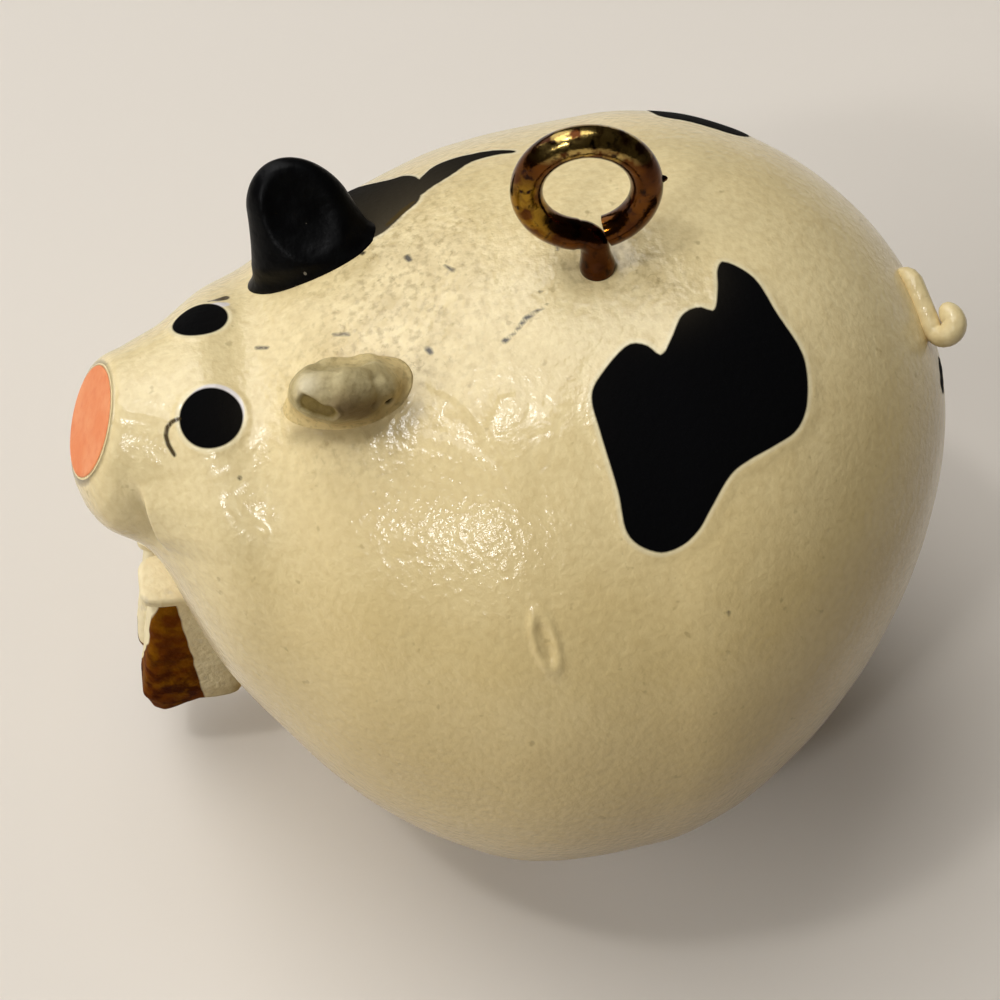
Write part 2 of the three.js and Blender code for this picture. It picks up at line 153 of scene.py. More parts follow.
table_mesh = bpy.data.meshes.new("table")
reach = TABLE_SIZE / 2
table_mesh.from_pydata([(-reach, -reach, 0), (reach, -reach, 0), (reach, reach, 0), (-reach, reach, 0)],
                       [], [(0, 1, 2, 3)])
table = bpy.data.objects.new("table", table_mesh)
scene.collection.objects.link(table)
table_top, tree, shader, place = new_finish("pale_table_top")
seen = add_node(tree, "ShaderNodeLightPath").outputs
seen_or_mirrored = maths(tree, "MAXIMUM", seen["Is Camera Ray"], seen["Is Glossy Ray"])
seen_or_mirrored = maths(tree, "MAXIMUM", seen_or_mirrored, seen["Is Transmission Ray"])
pale = mix(tree, seen_or_mirrored, TABLE_BOUNCE, TABLE_COLOUR)
set_inputs(tree, shader, {"Base Color": pale, "Roughness": 0.7})
table_mesh.materials.append(table_top)

# The body: one fat wooden egg with a flat snout end, filled smooth, painted cream and varnished.
# Eyes and black patches are brushed on by hand, so their edges stand a little proud of the cream.
BODY_LENGTH = 46.0
BODY_WIDTH = 41.6
BODY_HEIGHT = 39.2
WIDEST_RUN = 28.5
LOWEST_RUN = 21.3
SNOUT_WIDTH = 6.8
SNOUT_RISE = 11.1
SNOUT_TILT = math.radians(26)
SNOUT_TILT_ENDS_RUN = 10.0
RUMP_RISE = 7.7
NECK_RUN, NECK_DIP, NECK_SPREAD = 8.5, 1.1, 3.0
SHOULDER_RUN, SHOULDER_SWELL, SHOULDER_SPREAD = 21.0, 0.8, 5.0
THROAT_RUN, THROAT_DIP, THROAT_SPREAD, THROAT_STARTS_OVER = 3.2, 3.0, 2.2, 1.0
BELLY_FLAT_DEPTH = 0.8
FRONT_FULLNESS = 2.4
RUMP_FULLNESS = 1.72
CHIN_SWEEP = 2.3
RUMP_SWEEP = 1.34


def half_width(run):
    """Half the body's width at a run, which is the way from the snout in millimetres."""
    snout, widest = SNOUT_WIDTH / 2, BODY_WIDTH / 2
    front = widest - (widest - snout) * np.clip(1 - run / WIDEST_RUN, 0, 1) ** FRONT_FULLNESS
    share = np.clip((run - WIDEST_RUN) / (BODY_LENGTH - WIDEST_RUN), 0, 1)
    return np.where(run < WIDEST_RUN, front, widest * (1 - share ** RUMP_FULLNESS) ** (1 / RUMP_FULLNESS))


def centre_rise(run):
    """How high the body's middle lies at a run, over its lowest middle."""
    chin = SNOUT_RISE * np.clip(1 - run / LOWEST_RUN, 0, 1) ** CHIN_SWEEP
    rump = RUMP_RISE * np.clip((run - LOWEST_RUN) / (BODY_LENGTH - LOWEST_RUN), 0, 1) ** RUMP_SWEEP
    return chin + rump


snout_drop = SNOUT_WIDTH / 2 * BODY_HEIGHT / BODY_WIDTH * math.sin(SNOUT_TILT)
RUN_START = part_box("body")[0][1] / MM + snout_drop
belly_runs = np.linspace(0, BODY_LENGTH, 2000)
TABLE_RISE = np.min(centre_rise(belly_runs) - half_width(belly_runs) * BODY_HEIGHT / BODY_WIDTH)
TABLE_RISE += BELLY_FLAT_DEPTH


def skin(run, angle, inset=0.0):
    """Points of the body's skin in millimetres. Angle 0 is the pig's left side, a quarter turn its top."""
    run, angle = np.asarray(run, float), np.asarray(angle, float)
    shoulder = SHOULDER_SWELL * np.exp(-((run - SHOULDER_RUN) / SHOULDER_SPREAD) ** 2)
    neck = NECK_DIP * np.exp(-((run - NECK_RUN) / NECK_SPREAD) ** 2)
    throat = THROAT_DIP * np.exp(-((run - THROAT_RUN) / THROAT_SPREAD) ** 2)
    throat = throat * np.clip(run / THROAT_STARTS_OVER, 0, 1)
    swell = (shoulder - neck) * (1 + np.sin(angle)) / 2 - throat * (1 - np.sin(angle)) / 2
    across = half_width(run) - inset
    lift = (across * BODY_HEIGHT / BODY_WIDTH + swell) * np.sin(angle)
    tilt = SNOUT_TILT * np.clip(1 - run / SNOUT_TILT_ENDS_RUN, 0, 1) ** 2
    return np.stack([
        (across + swell) * np.cos(angle),
        RUN_START + run + lift * np.sin(tilt),
        centre_rise(run) + lift * np.cos(tilt) - TABLE_RISE,
    ], axis=-1)


def closed_skin(name, rings):
    """A closed smooth mesh over rings of points in millimetres, with both ends fanned to their middles."""
    rows, sides, _ = rings.shape
    points = np.vstack([rings.reshape(-1, 3), rings[0].mean(axis=0), rings[-1].mean(axis=0)])
    side = np.arange(sides)
    after = (side + 1) % sides
    row = np.arange(rows - 1)[:, None] * sides
    walls = np.stack([row + side, row + after, row + sides + after, row + sides + side], axis=-1)
    walls = walls.reshape(-1, 4)
    last = (rows - 1) * sides
    first_end = np.stack([np.full(sides, rows * sides), after, side], axis=-1)
    last_end = np.stack([np.full(sides, rows * sides + 1), last + side, last + after], axis=-1)
    corners = points[walls]
    volume = np.einsum("ij,ij->", corners[:, 0], np.cross(corners[:, 1], corners[:, 2]))
    volume += np.einsum("ij,ij->", corners[:, 0], np.cross(corners[:, 2], corners[:, 3]))
    faces = walls.tolist() + first_end.tolist() + last_end.tolist()
    if volume < 0:
        faces = [face[::-1] for face in faces]
    mesh = bpy.data.meshes.new(name)
    mesh.from_pydata((points * MM).tolist(), [], faces)
    mesh.shade_smooth()
    piece = bpy.data.objects.new(name, mesh)
    scene.collection.objects.link(piece)
    return piece


def paint_layer(piece, name, values):
    """A layer of paint or dirt on a lofted piece, a value for each of its points and none at its two ends."""
    layer = piece.data.attributes.new(name, "FLOAT", "POINT")
    layer.data.foreach_set("value", np.append(np.ravel(values), (0.0, 0.0)).astype(np.float32))


def lumps(points, size, seed):
    """Smooth unevenness from -1 to 1, as large as the given size in millimetres."""
    shift = Vector((seed * 17.3, seed * 5.1, seed * 11.7))
    flat = points.reshape(-1, 3) / size
    return np.array([noise.noise(Vector(p) + shift) for p in flat.tolist()]).reshape(points.shape[:-1])


# Stations along the body lie closest together on the face and the shoulder, and on the upper left side.
FACE_STEP = 0.14
BACK_STEP = 0.26
SHOULDER_STEP, SHOULDER_STARTS_RUN, SHOULDER_ENDS_RUN = 0.13, 15.8, 22.5
FACE_ENDS_RUN = 10.0
RUMP_STARTS_RUN = 36.0
RUMP_ROWS = 58
SIDES = 376
SPARSE_SHARE = 0.35
SNOUT_EDGE_ROUNDING = 0.4
PAD_RADIUS = 3.06
PAD_RECESS = 0.45
start = math.asin(((RUMP_STARTS_RUN - WIDEST_RUN) / (BODY_LENGTH - WIDEST_RUN)) ** (RUMP_FULLNESS / 2))
rump = np.sin(np.linspace(start, math.radians(89.3), RUMP_ROWS)) ** (2 / RUMP_FULLNESS)
row_runs = np.concatenate([
    np.arange(0, FACE_ENDS_RUN, FACE_STEP),
    np.arange(FACE_ENDS_RUN, SHOULDER_STARTS_RUN - SHOULDER_STEP, BACK_STEP),
    np.arange(SHOULDER_STARTS_RUN, SHOULDER_ENDS_RUN - SHOULDER_STEP / 2, SHOULDER_STEP),
    np.arange(SHOULDER_ENDS_RUN, RUMP_STARTS_RUN, BACK_STEP),
    WIDEST_RUN + (BODY_LENGTH - WIDEST_RUN) * rump,
])
edge = np.clip(1 - row_runs / SNOUT_EDGE_ROUNDING, 0, 1)
row_insets = SNOUT_EDGE_ROUNDING * (1 - np.sqrt(1 - edge ** 2))
pad_inset = SNOUT_WIDTH / 2 - PAD_RADIUS
face_insets = np.array([pad_inset + 0.3, pad_inset + 0.04, pad_inset, pad_inset - 0.03])
face_insets = np.minimum(face_insets, [9, 9, 9, SNOUT_EDGE_ROUNDING])
RECESS_ROWS = len(face_insets)
row_runs = np.concatenate([[PAD_RECESS, PAD_RECESS, PAD_RECESS - 0.05, 0.03], row_runs])
row_insets = np.concatenate([face_insets, row_insets])
even = np.radians(np.linspace(-180, 180, 721))
shown = np.exp(-(np.maximum(np.abs(even - math.radians(55)) - math.radians(90), 0) / 0.3) ** 2)
crowding = np.cumsum(SPARSE_SHARE + (1 - SPARSE_SHARE) * shown)
crowding = (crowding - crowding[0]) / (crowding[-1] - crowding[0])
side_angles = np.interp(np.arange(SIDES) / SIDES, crowding, even)
RUN, ANGLE = np.meshgrid(row_runs, side_angles, indexing="ij")
DEGREES = np.degrees(ANGLE)
body_points = skin(RUN, ANGLE, row_insets[:, None])


def skin_at(run, degrees):
    """One point of the plain skin."""
    return skin(run, math.radians(degrees))


def outline_depth(outline):
    """How far each point lies inside a smooth painted outline, in millimetres, negative outside it.
    The outline's points are a run and an angle in degrees."""
    knots = np.array(outline, float)
    around = math.radians(1) * float(half_width(knots[:, 0].mean()))
    knots = knots * (1, around)
    steps = np.arange(6)[None, :, None] / 6
    before, here = np.roll(knots, 1, axis=0)[:, None], knots[:, None]
    after, beyond = np.roll(knots, -1, axis=0)[:, None], np.roll(knots, -2, axis=0)[:, None]
    curve = here + (after - before) / 2 * steps
    curve = curve + (2 * before - 5 * here + 4 * after - beyond) / 2 * steps ** 2
    curve = curve + (3 * here - before - 3 * after + beyond) / 2 * steps ** 3
    curve = curve.reshape(-1, 2)
    x, y = RUN, DEGREES * around
    margin = 2.0
    near = (x > curve[:, 0].min() - margin) & (x < curve[:, 0].max() + margin)
    near &= (y > curve[:, 1].min() - margin) & (y < curve[:, 1].max() + margin)
    x, y = x[near], y[near]
    nearest = np.full(x.shape, margin)
    inside = np.zeros(x.shape, bool)
    for (ax, ay), (bx, by) in zip(curve, np.roll(curve, -1, axis=0)):
        along = ((x - ax) * (bx - ax) + (y - ay) * (by - ay)) / ((bx - ax) ** 2 + (by - ay) ** 2)
        along = np.clip(along, 0, 1)
        nearest = np.minimum(nearest, np.hypot(x - ax - along * (bx - ax), y - ay - along * (by - ay)))
        if ay != by:
            inside ^= ((ay > y) != (by > y)) & (x < ax + (bx - ax) * (y - ay) / (by - ay))
    depth = np.full(RUN.shape, -margin)
    depth[near] = np.where(inside, nearest, -nearest)
    return depth


def stroke_depth(*knots):
    """How far each point lies inside a brush stroke, in millimetres. A knot is a run, an angle in degrees
    and the stroke's half-width there."""
    places = [skin_at(run, degrees) for run, degrees, _ in knots]
    widths = [half for _, _, half in knots]
    if len(knots) == 1:
        return widths[0] - np.linalg.norm(body_points - places[0], axis=-1)
    depth = np.full(RUN.shape, -9.0)
    for a, b, wide_a, wide_b in zip(places, places[1:], widths, widths[1:]):
        along = np.clip((body_points - a) @ (b - a) / ((b - a) @ (b - a)), 0, 1)
        away = np.linalg.norm(body_points - a - along[..., None] * (b - a), axis=-1)
        depth = np.maximum(depth, wide_a + (wide_b - wide_a) * along - away)
    return depth


SIDE_PATCH = [
    (32.0, 86.2), (33.3, 83.0), (34.1, 76.8), (35.0, 70.6), (35.1, 66.0), (34.8, 61.4), (34.1, 58.6),
    (32.9, 57.4), (31.5, 56.4), (30.5, 55.0), (29.4, 51.2), (28.8, 49.0), (27.9, 47.4), (26.7, 47.4),
    (25.4, 50.6), (25.1, 56.8), (24.6, 64.6), (24.4, 70.0), (25.2, 73.2), (26.5, 76.0), (27.4, 75.4),
    (28.0, 73.6), (28.6, 75.6), (29.3, 78.6), (30.2, 79.4), (30.9, 78.6), (31.3, 82.0), (31.5, 85.0),
]
EAR_PATCH = [
    (15.5, 108.2), (16.5, 109.6), (17.2, 111.4), (18.0, 113.0), (18.35, 117.0), (18.3, 121.8), (17.7, 125.6),
    (17.0, 127.4), (16.0, 132.8), (15.2, 139.8), (13.4, 146.0), (11.5, 142.0), (11.2, 122.0), (12.6, 108.0),
]
EAR_STROKE = [
    (18.1, 114.6), (18.3, 119.6), (18.7, 121.4), (19.4, 123.0), (20.8, 123.0), (22.4, 121.8), (23.5, 119.6),
    (23.4, 118.8), (22.5, 119.4), (21.2, 119.2), (20.1, 117.2), (18.9, 115.6),
]
FAR_PATCH = [
    (31.7, 127.6), (33.0, 125.2), (34.4, 123.4), (35.4, 122.8), (36.3, 126.0), (36.6, 134.0), (35.8, 143.0),
    (34.2, 147.0), (32.4, 144.0), (31.6, 136.0),
]
side_patch = outline_depth(SIDE_PATCH)
ear_stroke = outline_depth(EAR_STROKE)
tail_spot = stroke_depth((44.6, 66.0, 0.6), (44.4, 58.0, 0.55))
near_eye = stroke_depth((5.25, 72.4, 1.62))
far_eye = stroke_depth((5.20, 111.4, 1.48))
brushed = [side_patch, outline_depth(EAR_PATCH), outline_depth(FAR_PATCH), ear_stroke, tail_spot]
black = np.max(brushed + [near_eye, far_eye], axis=0)
white = np.maximum(
    stroke_depth((5.5, 74.3, 1.53)),
    stroke_depth((5.7, 117.0, 0.18), (7.1, 114.2, 0.26)),
)
lash = np.maximum.reduce([
    stroke_depth((3.2, 69.6, 0.1), (2.75, 67.6, 0.12), (2.5, 64.6, 0.12), (2.45, 61.0, 0.12),
                 (2.6, 57.6, 0.12), (2.95, 54.6, 0.11)),
    stroke_depth((6.1, 119.0, 0.1), (7.2, 118.0, 0.24)),
    stroke_depth((16.2, 110.0, 0.14), (17.2, 112.2, 0.22), (17.8, 113.4, 0.1)),
])
FLECKS = [
    [(23.1, 84.4, 0.05), (21.9, 83.0, 0.13), (21.2, 81.0, 0.05), (20.7, 80.2, 0.14)],
    [(17.0, 81.9, 0.12), (17.15, 81.2, 0.14)],
    [(12.6, 89.2, 0.07), (13.4, 88.2, 0.09)],
    [(8.7, 94.0, 0.09), (9.3, 92.8, 0.08)],
    [(18.5, 95.6, 0.05), (18.9, 94.0, 0.09)],
    [(16.8, 100.2, 0.16), (16.9, 99.2, 0.12)],
    [(24.6, 95.6, 0.08), (24.0, 93.0, 0.1)],
    [(14.7, 105.4, 0.18)], [(30.06, 36.0, 0.12)], [(6.9, 57.5, 0.1)], [(25.0, 48.5, 0.09)],
    [(22.85, 86.6, 0.12)],
]
flecks = np.max([stroke_depth(*fleck) for fleck in FLECKS], axis=0)

# Relief in millimetres: the hand-sanded unevenness, raised paint edges, and the flaws in the varnish.
HAND_UNEVENNESS = 0.09
FILLER_RIPPLE = 0.03
PAINT_THICKNESS = 0.05
PAINT_EDGE = 0.07
VARNISH_RIDGE_AWAY = 0.48
VARNISH_RIDGE = 0.05
BLISTER_LONG, BLISTER_ACROSS = 1.5, 0.55
BLISTER_RIM = 0.16
SHANK_RUN, SHANK_DEGREES = 25.8, 89.2
SHANK_DIMPLE = 0.28
VARNISH_RUN_WIDTH, VARNISH_POOL_WIDTH = 0.25, 0.55
CHEEK_FOLD = 0.42
CHIN_HOLLOW = 0.25
CHIN_RUN, CHIN_BULGE, CHIN_SPREAD = 1.4, 0.75, 1.15


def bump_over(distance, width):
    """A smooth hump of height 1 that falls away over a width in millimetres."""
    return np.exp(-(distance / width) ** 2)


relief = HAND_UNEVENNESS * lumps(body_points, 7.0, 1) + FILLER_RIPPLE * lumps(body_points, 2.3, 2)
relief += PAINT_THICKNESS * np.clip(black / 0.2 + 0.5, 0, 1)
relief += PAINT_EDGE * bump_over(np.maximum(side_patch, np.maximum(near_eye, far_eye)) + 0.2, 0.16)
ridge_side = np.clip((RUN - 27.5) / 0.8, 0, 1) * np.clip((72 - DEGREES) / 4, 0, 1)
relief += VARNISH_RIDGE * bump_over(side_patch + VARNISH_RIDGE_AWAY, 0.14) * ridge_side
blister_top, blister_foot = skin_at(20.85, 41.6), skin_at(21.5, 33.4)
blister_middle = (blister_top + blister_foot) / 2
blister_way = (blister_foot - blister_top) / np.linalg.norm(blister_foot - blister_top)
along = (body_points - blister_middle) @ blister_way
across = np.linalg.norm(body_points - blister_middle - along[..., None] * blister_way, axis=-1)
uneven = 0.75 + 0.5 * lumps(body_points, 0.7, 3)
oval = np.hypot(along / BLISTER_LONG, across / BLISTER_ACROSS)
relief += BLISTER_RIM * bump_over((oval - 1) * BLISTER_ACROSS, 0.14) * uneven
groove = np.clip((BLISTER_LONG - 0.35 - np.abs(along)) / 0.3, 0, 1)
relief -= 0.6 * BLISTER_RIM * bump_over(across, 0.16) * groove
from_shank = -stroke_depth((SHANK_RUN, SHANK_DEGREES, 0.0))
relief += -SHANK_DIMPLE * bump_over(from_shank, 1.25) + 0.05 * bump_over(from_shank - 2.1, 0.4)
fold_top, fold_foot = skin_at(1.5, 28.0), skin_at(2.65, 10.0)
fold_way = (fold_foot - fold_top) / np.linalg.norm(fold_foot - fold_top)
fold_back = np.cross(fold_way, np.array([0.68, -0.60, 0.42]))
fold_back /= -np.linalg.norm(fold_back)
past_fold = (body_points - fold_top) @ fold_back
down_fold = (body_points - fold_top) @ fold_way / np.linalg.norm(fold_foot - fold_top)
beside = np.clip(down_fold / 0.5, 0, 1) * np.clip((1.5 - down_fold) / 0.4, 0, 1)
left_face = beside * (body_points[..., 0] > 0) * (RUN < 12) * (ANGLE > -1.0)
cheek = np.clip(past_fold / 0.25, 0, 1) * np.exp(-np.maximum(past_fold, 0) / 2.6)
chin = np.clip(-past_fold / 0.25, 0, 1) * np.exp(np.minimum(past_fold, 0) / 1.2)
relief += left_face * (CHEEK_FOLD * cheek - CHIN_HOLLOW * chin)
under = np.clip((0.45 - np.sin(ANGLE)) / 0.8, 0, 1)
chin_bulge = CHIN_BULGE * bump_over(RUN - CHIN_RUN, CHIN_SPREAD) * under ** 2 * (3 - 2 * under)
chin_bulge[:RECESS_ROWS] = 0


def raised(points, relief):
    """Rings of points moved outwards by a relief in millimetres."""
    around = np.roll(points, -1, axis=1) - np.roll(points, 1, axis=1)
    outward = np.cross(around, np.gradient(points, axis=0))
    outward /= np.linalg.norm(outward, axis=-1, keepdims=True) + 1e-9
    outward *= np.sign(np.einsum("ijk,ijk->", outward, points - points.mean(axis=(0, 1))))
    return points + outward * relief[..., None]


on_face = np.clip((RUN - 0.3) / 1.2, 0, 1)
painted_points = raised(body_points, relief * on_face + chin_bulge * np.clip(RUN / 0.8, 0, 1))
painted_points[..., 2] = np.maximum(painted_points[..., 2], 0.0)

pig_body = closed_skin("pig_body", painted_points)
paint_layer(pig_body, "black", np.clip(1 + black, 0, 2))
paint_layer(pig_body, "white", np.clip(1 + white, 0, 2))
paint_layer(pig_body, "lash", np.clip(1 + lash, 0, 2))
paint_layer(pig_body, "fleck", np.clip(1 + flecks, 0, 2))
NECK_GRIME_RUN, NECK_GRIME_DEGREES = 16.5, 98
SIDE_SHADE_TOP_DEGREES, SIDE_SHADE_LOW_DEGREES, SIDE_SHADE_FADE_DEGREES = 80, -110, 50
neck_grime = bump_over(RUN - NECK_GRIME_RUN, 5.0) * bump_over(DEGREES - NECK_GRIME_DEGREES, 22)
ear_grime = 0.9 * bump_over(stroke_depth((13.1, 76.0, 0.0)), 3.6)
# Painted shadow: a brown band on the cream along the foot of the left ear, where its shadow falls.
ear_foot = stroke_depth((10.4, 70.4, 0.0), (12.8, 70.0, 0.0), (15.2, 69.4, 0.0), (16.0, 72.5, 0.0))
ear_painted_shadow = 0.8 * bump_over(ear_foot, 0.6)
# Dust round the foot of the ring, spread over the place beside it where the ring's shadow falls, so it is
# partly painted shadow.
ring_dust_and_shadow = 0.8 * bump_over(stroke_depth((25.5, 92.0, 0.0), (28.5, 86.0, 0.0)), 2.2)
# Painted shade: the cream darkened in the crease between the chin and the cheek.
fold_painted_shade = left_face * np.clip(-past_fold / 0.2, 0, 1) * np.exp(np.minimum(past_fold, 0) / 0.9)
paint_layer(pig_body, "dust_and_ring_shadow", np.clip(neck_grime + ear_grime + ring_dust_and_shadow, 0, 1))
paint_layer(pig_body, "painted_shade", np.maximum(fold_painted_shade, ear_painted_shadow))
crumple = bump_over(stroke_depth((22.0, 63.5, 0.0), (22.2, 69.0, 0.0)), 1.2)
crumple = np.maximum(crumple, 0.5 * bump_over(stroke_depth((17.0, 74.0, 0.0), (19.5, 64.0, 0.0)), 1.5))
crumple = np.maximum(crumple, 0.5 * bump_over(stroke_depth((8.6, 74.8, 0.0), (8.1, 68.4, 0.0)), 0.5))
VARNISH_RUNS = [
    ((16.97, 75.8), (17.97, 73.6), (18.69, 70.8), (18.89, 68.8)),
    ((16.33, 67.8), (17.37, 66.8), (18.25, 65.0), (19.33, 62.8)),
    ((19.09, 68.8), (19.65, 71.2), (20.01, 73.0), (20.57, 72.6)),
    ((19.09, 68.8), (19.29, 65.8), (19.69, 63.2), (20.1, 60.2)),
    ((0.5, 68.4), (1.6, 68.6), (2.56, 67.8), (3.1, 70.0)),
    ((4.8, 52.8), (5.64, 55.6), (6.32, 58.4)),
    ((7.3, 55.6), (6.6, 51.4), (6.4, 49.2), (6.96, 46.8), (8.05, 46.2)),
    ((12.3, 49.0), (12.8, 49.2)),
    ((14.3, 50.0), (15.1, 50.8)),
]
from_run = np.max([stroke_depth(*[(*knot, 0.0) for knot in run]) for run in VARNISH_RUNS], axis=0)
paint_layer(pig_body, "bead", bump_over(from_run, VARNISH_RUN_WIDTH))
pooled = bump_over(from_run, VARNISH_POOL_WIDTH)
paint_layer(pig_body, "varnish", np.clip(1.6 * np.maximum(pooled, crumple), 0, 1))
# Painted shade: the cream is painted deeper on the pig's left side and underside, fading out over the back
# and past the belly, and fading in behind the snout.
side_shade = np.clip((SIDE_SHADE_TOP_DEGREES - DEGREES) / SIDE_SHADE_FADE_DEGREES, 0, 1)
side_shade *= np.clip((DEGREES - SIDE_SHADE_LOW_DEGREES) / SIDE_SHADE_FADE_DEGREES, 0, 1)
paint_layer(pig_body, "side_shade", side_shade * np.clip((RUN - 4) / 8, 0, 1))
paint_layer(pig_body, "crumple", crumple)

# Brushed oil enamel under yellowed varnish: an ivory that varies in depth, with a fine orange peel that
# breaks the gloss, crumpled where the varnish ran, and dust caught in it round the ears and the ring.
# Painted shade: deeper cream on the left side and underside, brown in the chin's crease and under the left
# ear, and the ring's dust spread over its shadow. The pale edge of the black paint is partly a painted glint.
CREAM_LIGHT, CREAM_DEEP, CREAM_PEEL = "#F4E1AE", "#DEC68C", "#CDB27A"
BLACK_ENAMEL, EYE_WHITE, LASH_BROWN = "#020203", "#E7DFDA", "#4A3C20"
DUST, SMUDGE, FLECK_BROWN, PAINTED_SHADE_BROWN, PAINT_RIM_AND_GLINT = "#9A8250", "#B79F69", "#4B4330", "#A8966B", "#F4ECCB"
PEEL_SIZE = 0.42
DUST_SIZE, SMUDGE_SIZE = 0.4, 1.7
HAIR_SIZE = 1.4
TONE_SIZE = 6.0
CRUMPLE_SIZE = 1.3
EDGE_SOFTNESS = 0.05
PEEL_DEPTH, GLOSS_DEPTH, CRUMPLE_DEPTH, BEAD_DEPTH = 0.045, 0.06, 0.16, 0.08


def ranged(tree, value, low, high, first=0.0, last=1.0):
    """A number that goes from first to last while the value goes from low to high."""
    return add_node(tree, "ShaderNodeMapRange", {0: value, 1: low, 2: high, 3: first, 4: last}).outputs[0]


def layer(tree, name):
    """What a paint layer holds at each place of the piece."""
    return add_node(tree, "ShaderNodeAttribute", attribute_name=name).outputs["Fac"]


def layer_over(tree, name, low, high):
    """A painted layer's share, rising between two depths in millimetres, where 1 is the layer's edge."""
    return ranged(tree, layer(tree, name), low, high)


def grain(tree, place, size, detail, twist=0.0):
    """Noise as large as a size in millimetres."""
    return add_node(tree, "ShaderNodeTexNoise", {"Vector": place, "Scale": 1 / size, "Detail": detail,
                                                 "Distortion": twist}).outputs["Fac"]


def speckle(tree, place, size, low, high, detail=3.0):
    """Noise as large as a size in millimetres, rising from 0 to 1 between two levels."""
    return ranged(tree, grain(tree, place, size, detail), low, high)


def uneven_skin(tree, height, depth, **under):
    """The normal of a skin that is uneven by a depth in millimetres, over another normal if one is given."""
    inputs = {"Height": height, "Distance": depth * MM, **under}
    return add_node(tree, "ShaderNodeBump", inputs).outputs["Normal"]


def times(tree, first, second):
    """The product of two numbers."""
    return maths(tree, "MULTIPLY", first, second)


enamel, tree, shader, place = new_finish("cream_oil_enamel")
tone = times(tree, speckle(tree, place, TONE_SIZE, 0.3, 0.7), 0.35)
# Painted shade: deeper cream on the left side and underside.
tone = maths(tree, "ADD", times(tree, layer(tree, "side_shade"), 0.75), tone)
cream = mix(tree, tone, CREAM_LIGHT, CREAM_DEEP)
peel = speckle(tree, place, PEEL_SIZE, 0.35, 0.75, 2.0)
cream = mix(tree, times(tree, peel, 0.4), cream, CREAM_PEEL)
# A pale band along the edges of the black paint: partly the raised edge of the cream coat, partly a painted
# glint on that edge.
rim_and_glint = times(tree, layer_over(tree, "black", 0.72, 0.9), 0.4)
cream = mix(tree, rim_and_glint, cream, PAINT_RIM_AND_GLINT)
# Dust round the neck and ears, and by the ring dust that is partly painted shadow.
dust_and_ring_shadow = layer(tree, "dust_and_ring_shadow")
smudge = times(tree, speckle(tree, place, SMUDGE_SIZE, 0.40, 0.68, 4.0), dust_and_ring_shadow)
cream = mix(tree, times(tree, smudge, 0.5), cream, SMUDGE)
dust = times(tree, speckle(tree, place, DUST_SIZE, 0.48, 0.68, 4.0), dust_and_ring_shadow)
cream = mix(tree, times(tree, dust, 0.55), cream, DUST)
beside_curl = maths(tree, "SUBTRACT", grain(tree, place, HAIR_SIZE, 2.0, 1.6), 0.5)
hair = ranged(tree, maths(tree, "ABSOLUTE", beside_curl), 0.0, 0.022, 1.0, 0.0)
hair = times(tree, times(tree, hair, speckle(tree, place, 0.8, 0.55, 0.62, 2.0)), dust_and_ring_shadow)
cream = mix(tree, times(tree, hair, 0.6), cream, DUST)
strewn = speckle(tree, place, 0.8, 0.70, 0.76, 2.0)
cream = mix(tree, times(tree, strewn, 0.35), cream, DUST)
# Painted shade and shadow: brown over the cream in the chin's crease and under the left ear.
cream = mix(tree, layer(tree, "painted_shade"), cream, PAINTED_SHADE_BROWN)
soft_low, soft_high = 1 - EDGE_SOFTNESS, 1 + EDGE_SOFTNESS
cream = mix(tree, layer_over(tree, "fleck", 0.92, 1.06), cream, FLECK_BROWN)
cream = mix(tree, layer_over(tree, "white", soft_low, soft_high), cream, EYE_WHITE)
black_share = layer_over(tree, "black", soft_low, soft_high)
ink = mix(tree, times(tree, dust_and_ring_shadow, 0.55), BLACK_ENAMEL, "#6A5F4A")
cream = mix(tree, black_share, cream, ink)
cream = mix(tree, layer_over(tree, "lash", soft_low, soft_high), cream, LASH_BROWN)
pebble = grain(tree, place, PEEL_SIZE, 2.0)
unpooled = ranged(tree, layer(tree, "varnish"), 0, 1, 1.0, 0.15)
gloss = uneven_skin(tree, times(tree, pebble, unpooled), GLOSS_DEPTH)
crease = times(tree, grain(tree, place, CRUMPLE_SIZE, 2.0, 0.8), layer(tree, "crumple"))
gloss = uneven_skin(tree, crease, CRUMPLE_DEPTH, Normal=gloss)
gloss = uneven_skin(tree, layer(tree, "bead"), BEAD_DEPTH, Normal=gloss)
set_inputs(tree, shader, {
    "Base Color": cream,
    "Roughness": ranged(tree, black_share, 0, 1, 0.5, 0.9),
    "Specular IOR Level": 0.1,
    "Normal": uneven_skin(tree, pebble, PEEL_DEPTH),
    "Coat Weight": ranged(tree, black_share, 0, 1, 0.95, 0.0),
    "Coat Roughness": 0.19,
    "Coat Normal": gloss,
})
pig_body.data.materials.append(enamel)
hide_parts("body")
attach(pig_body, "pig")

# The snout: a thin oval disc let into the flat end of the face and painted salmon pink, worn a little
# paler where the brush ran dry.
PAD_PROUD = 0.05
PAD_DEPTH = 0.4
PAD_EDGE = 0.12
pad_angles = np.linspace(-math.pi, math.pi, 96, endpoint=False)
snout_out = np.array([0, -math.cos(SNOUT_TILT), math.sin(SNOUT_TILT)])
snout_up = np.array([0, math.sin(SNOUT_TILT), math.cos(SNOUT_TILT)])
snout_middle = np.array([0, RUN_START, SNOUT_RISE - TABLE_RISE])
pad_rings = []
pad_rows = [(PAD_RADIUS - 0.05, -PAD_DEPTH)]
for turn in np.radians([0, 22, 45, 68, 90]):
    pad_rows.append((PAD_RADIUS - 0.03 - PAD_EDGE * (1 - math.cos(turn)),
                     PAD_PROUD - PAD_EDGE * (1 - math.sin(turn))))
for share in np.linspace(0.9, 0.1, 9):
    pad_rows.append((share * PAD_RADIUS, PAD_PROUD + 0.03 * (1 - share ** 2)))
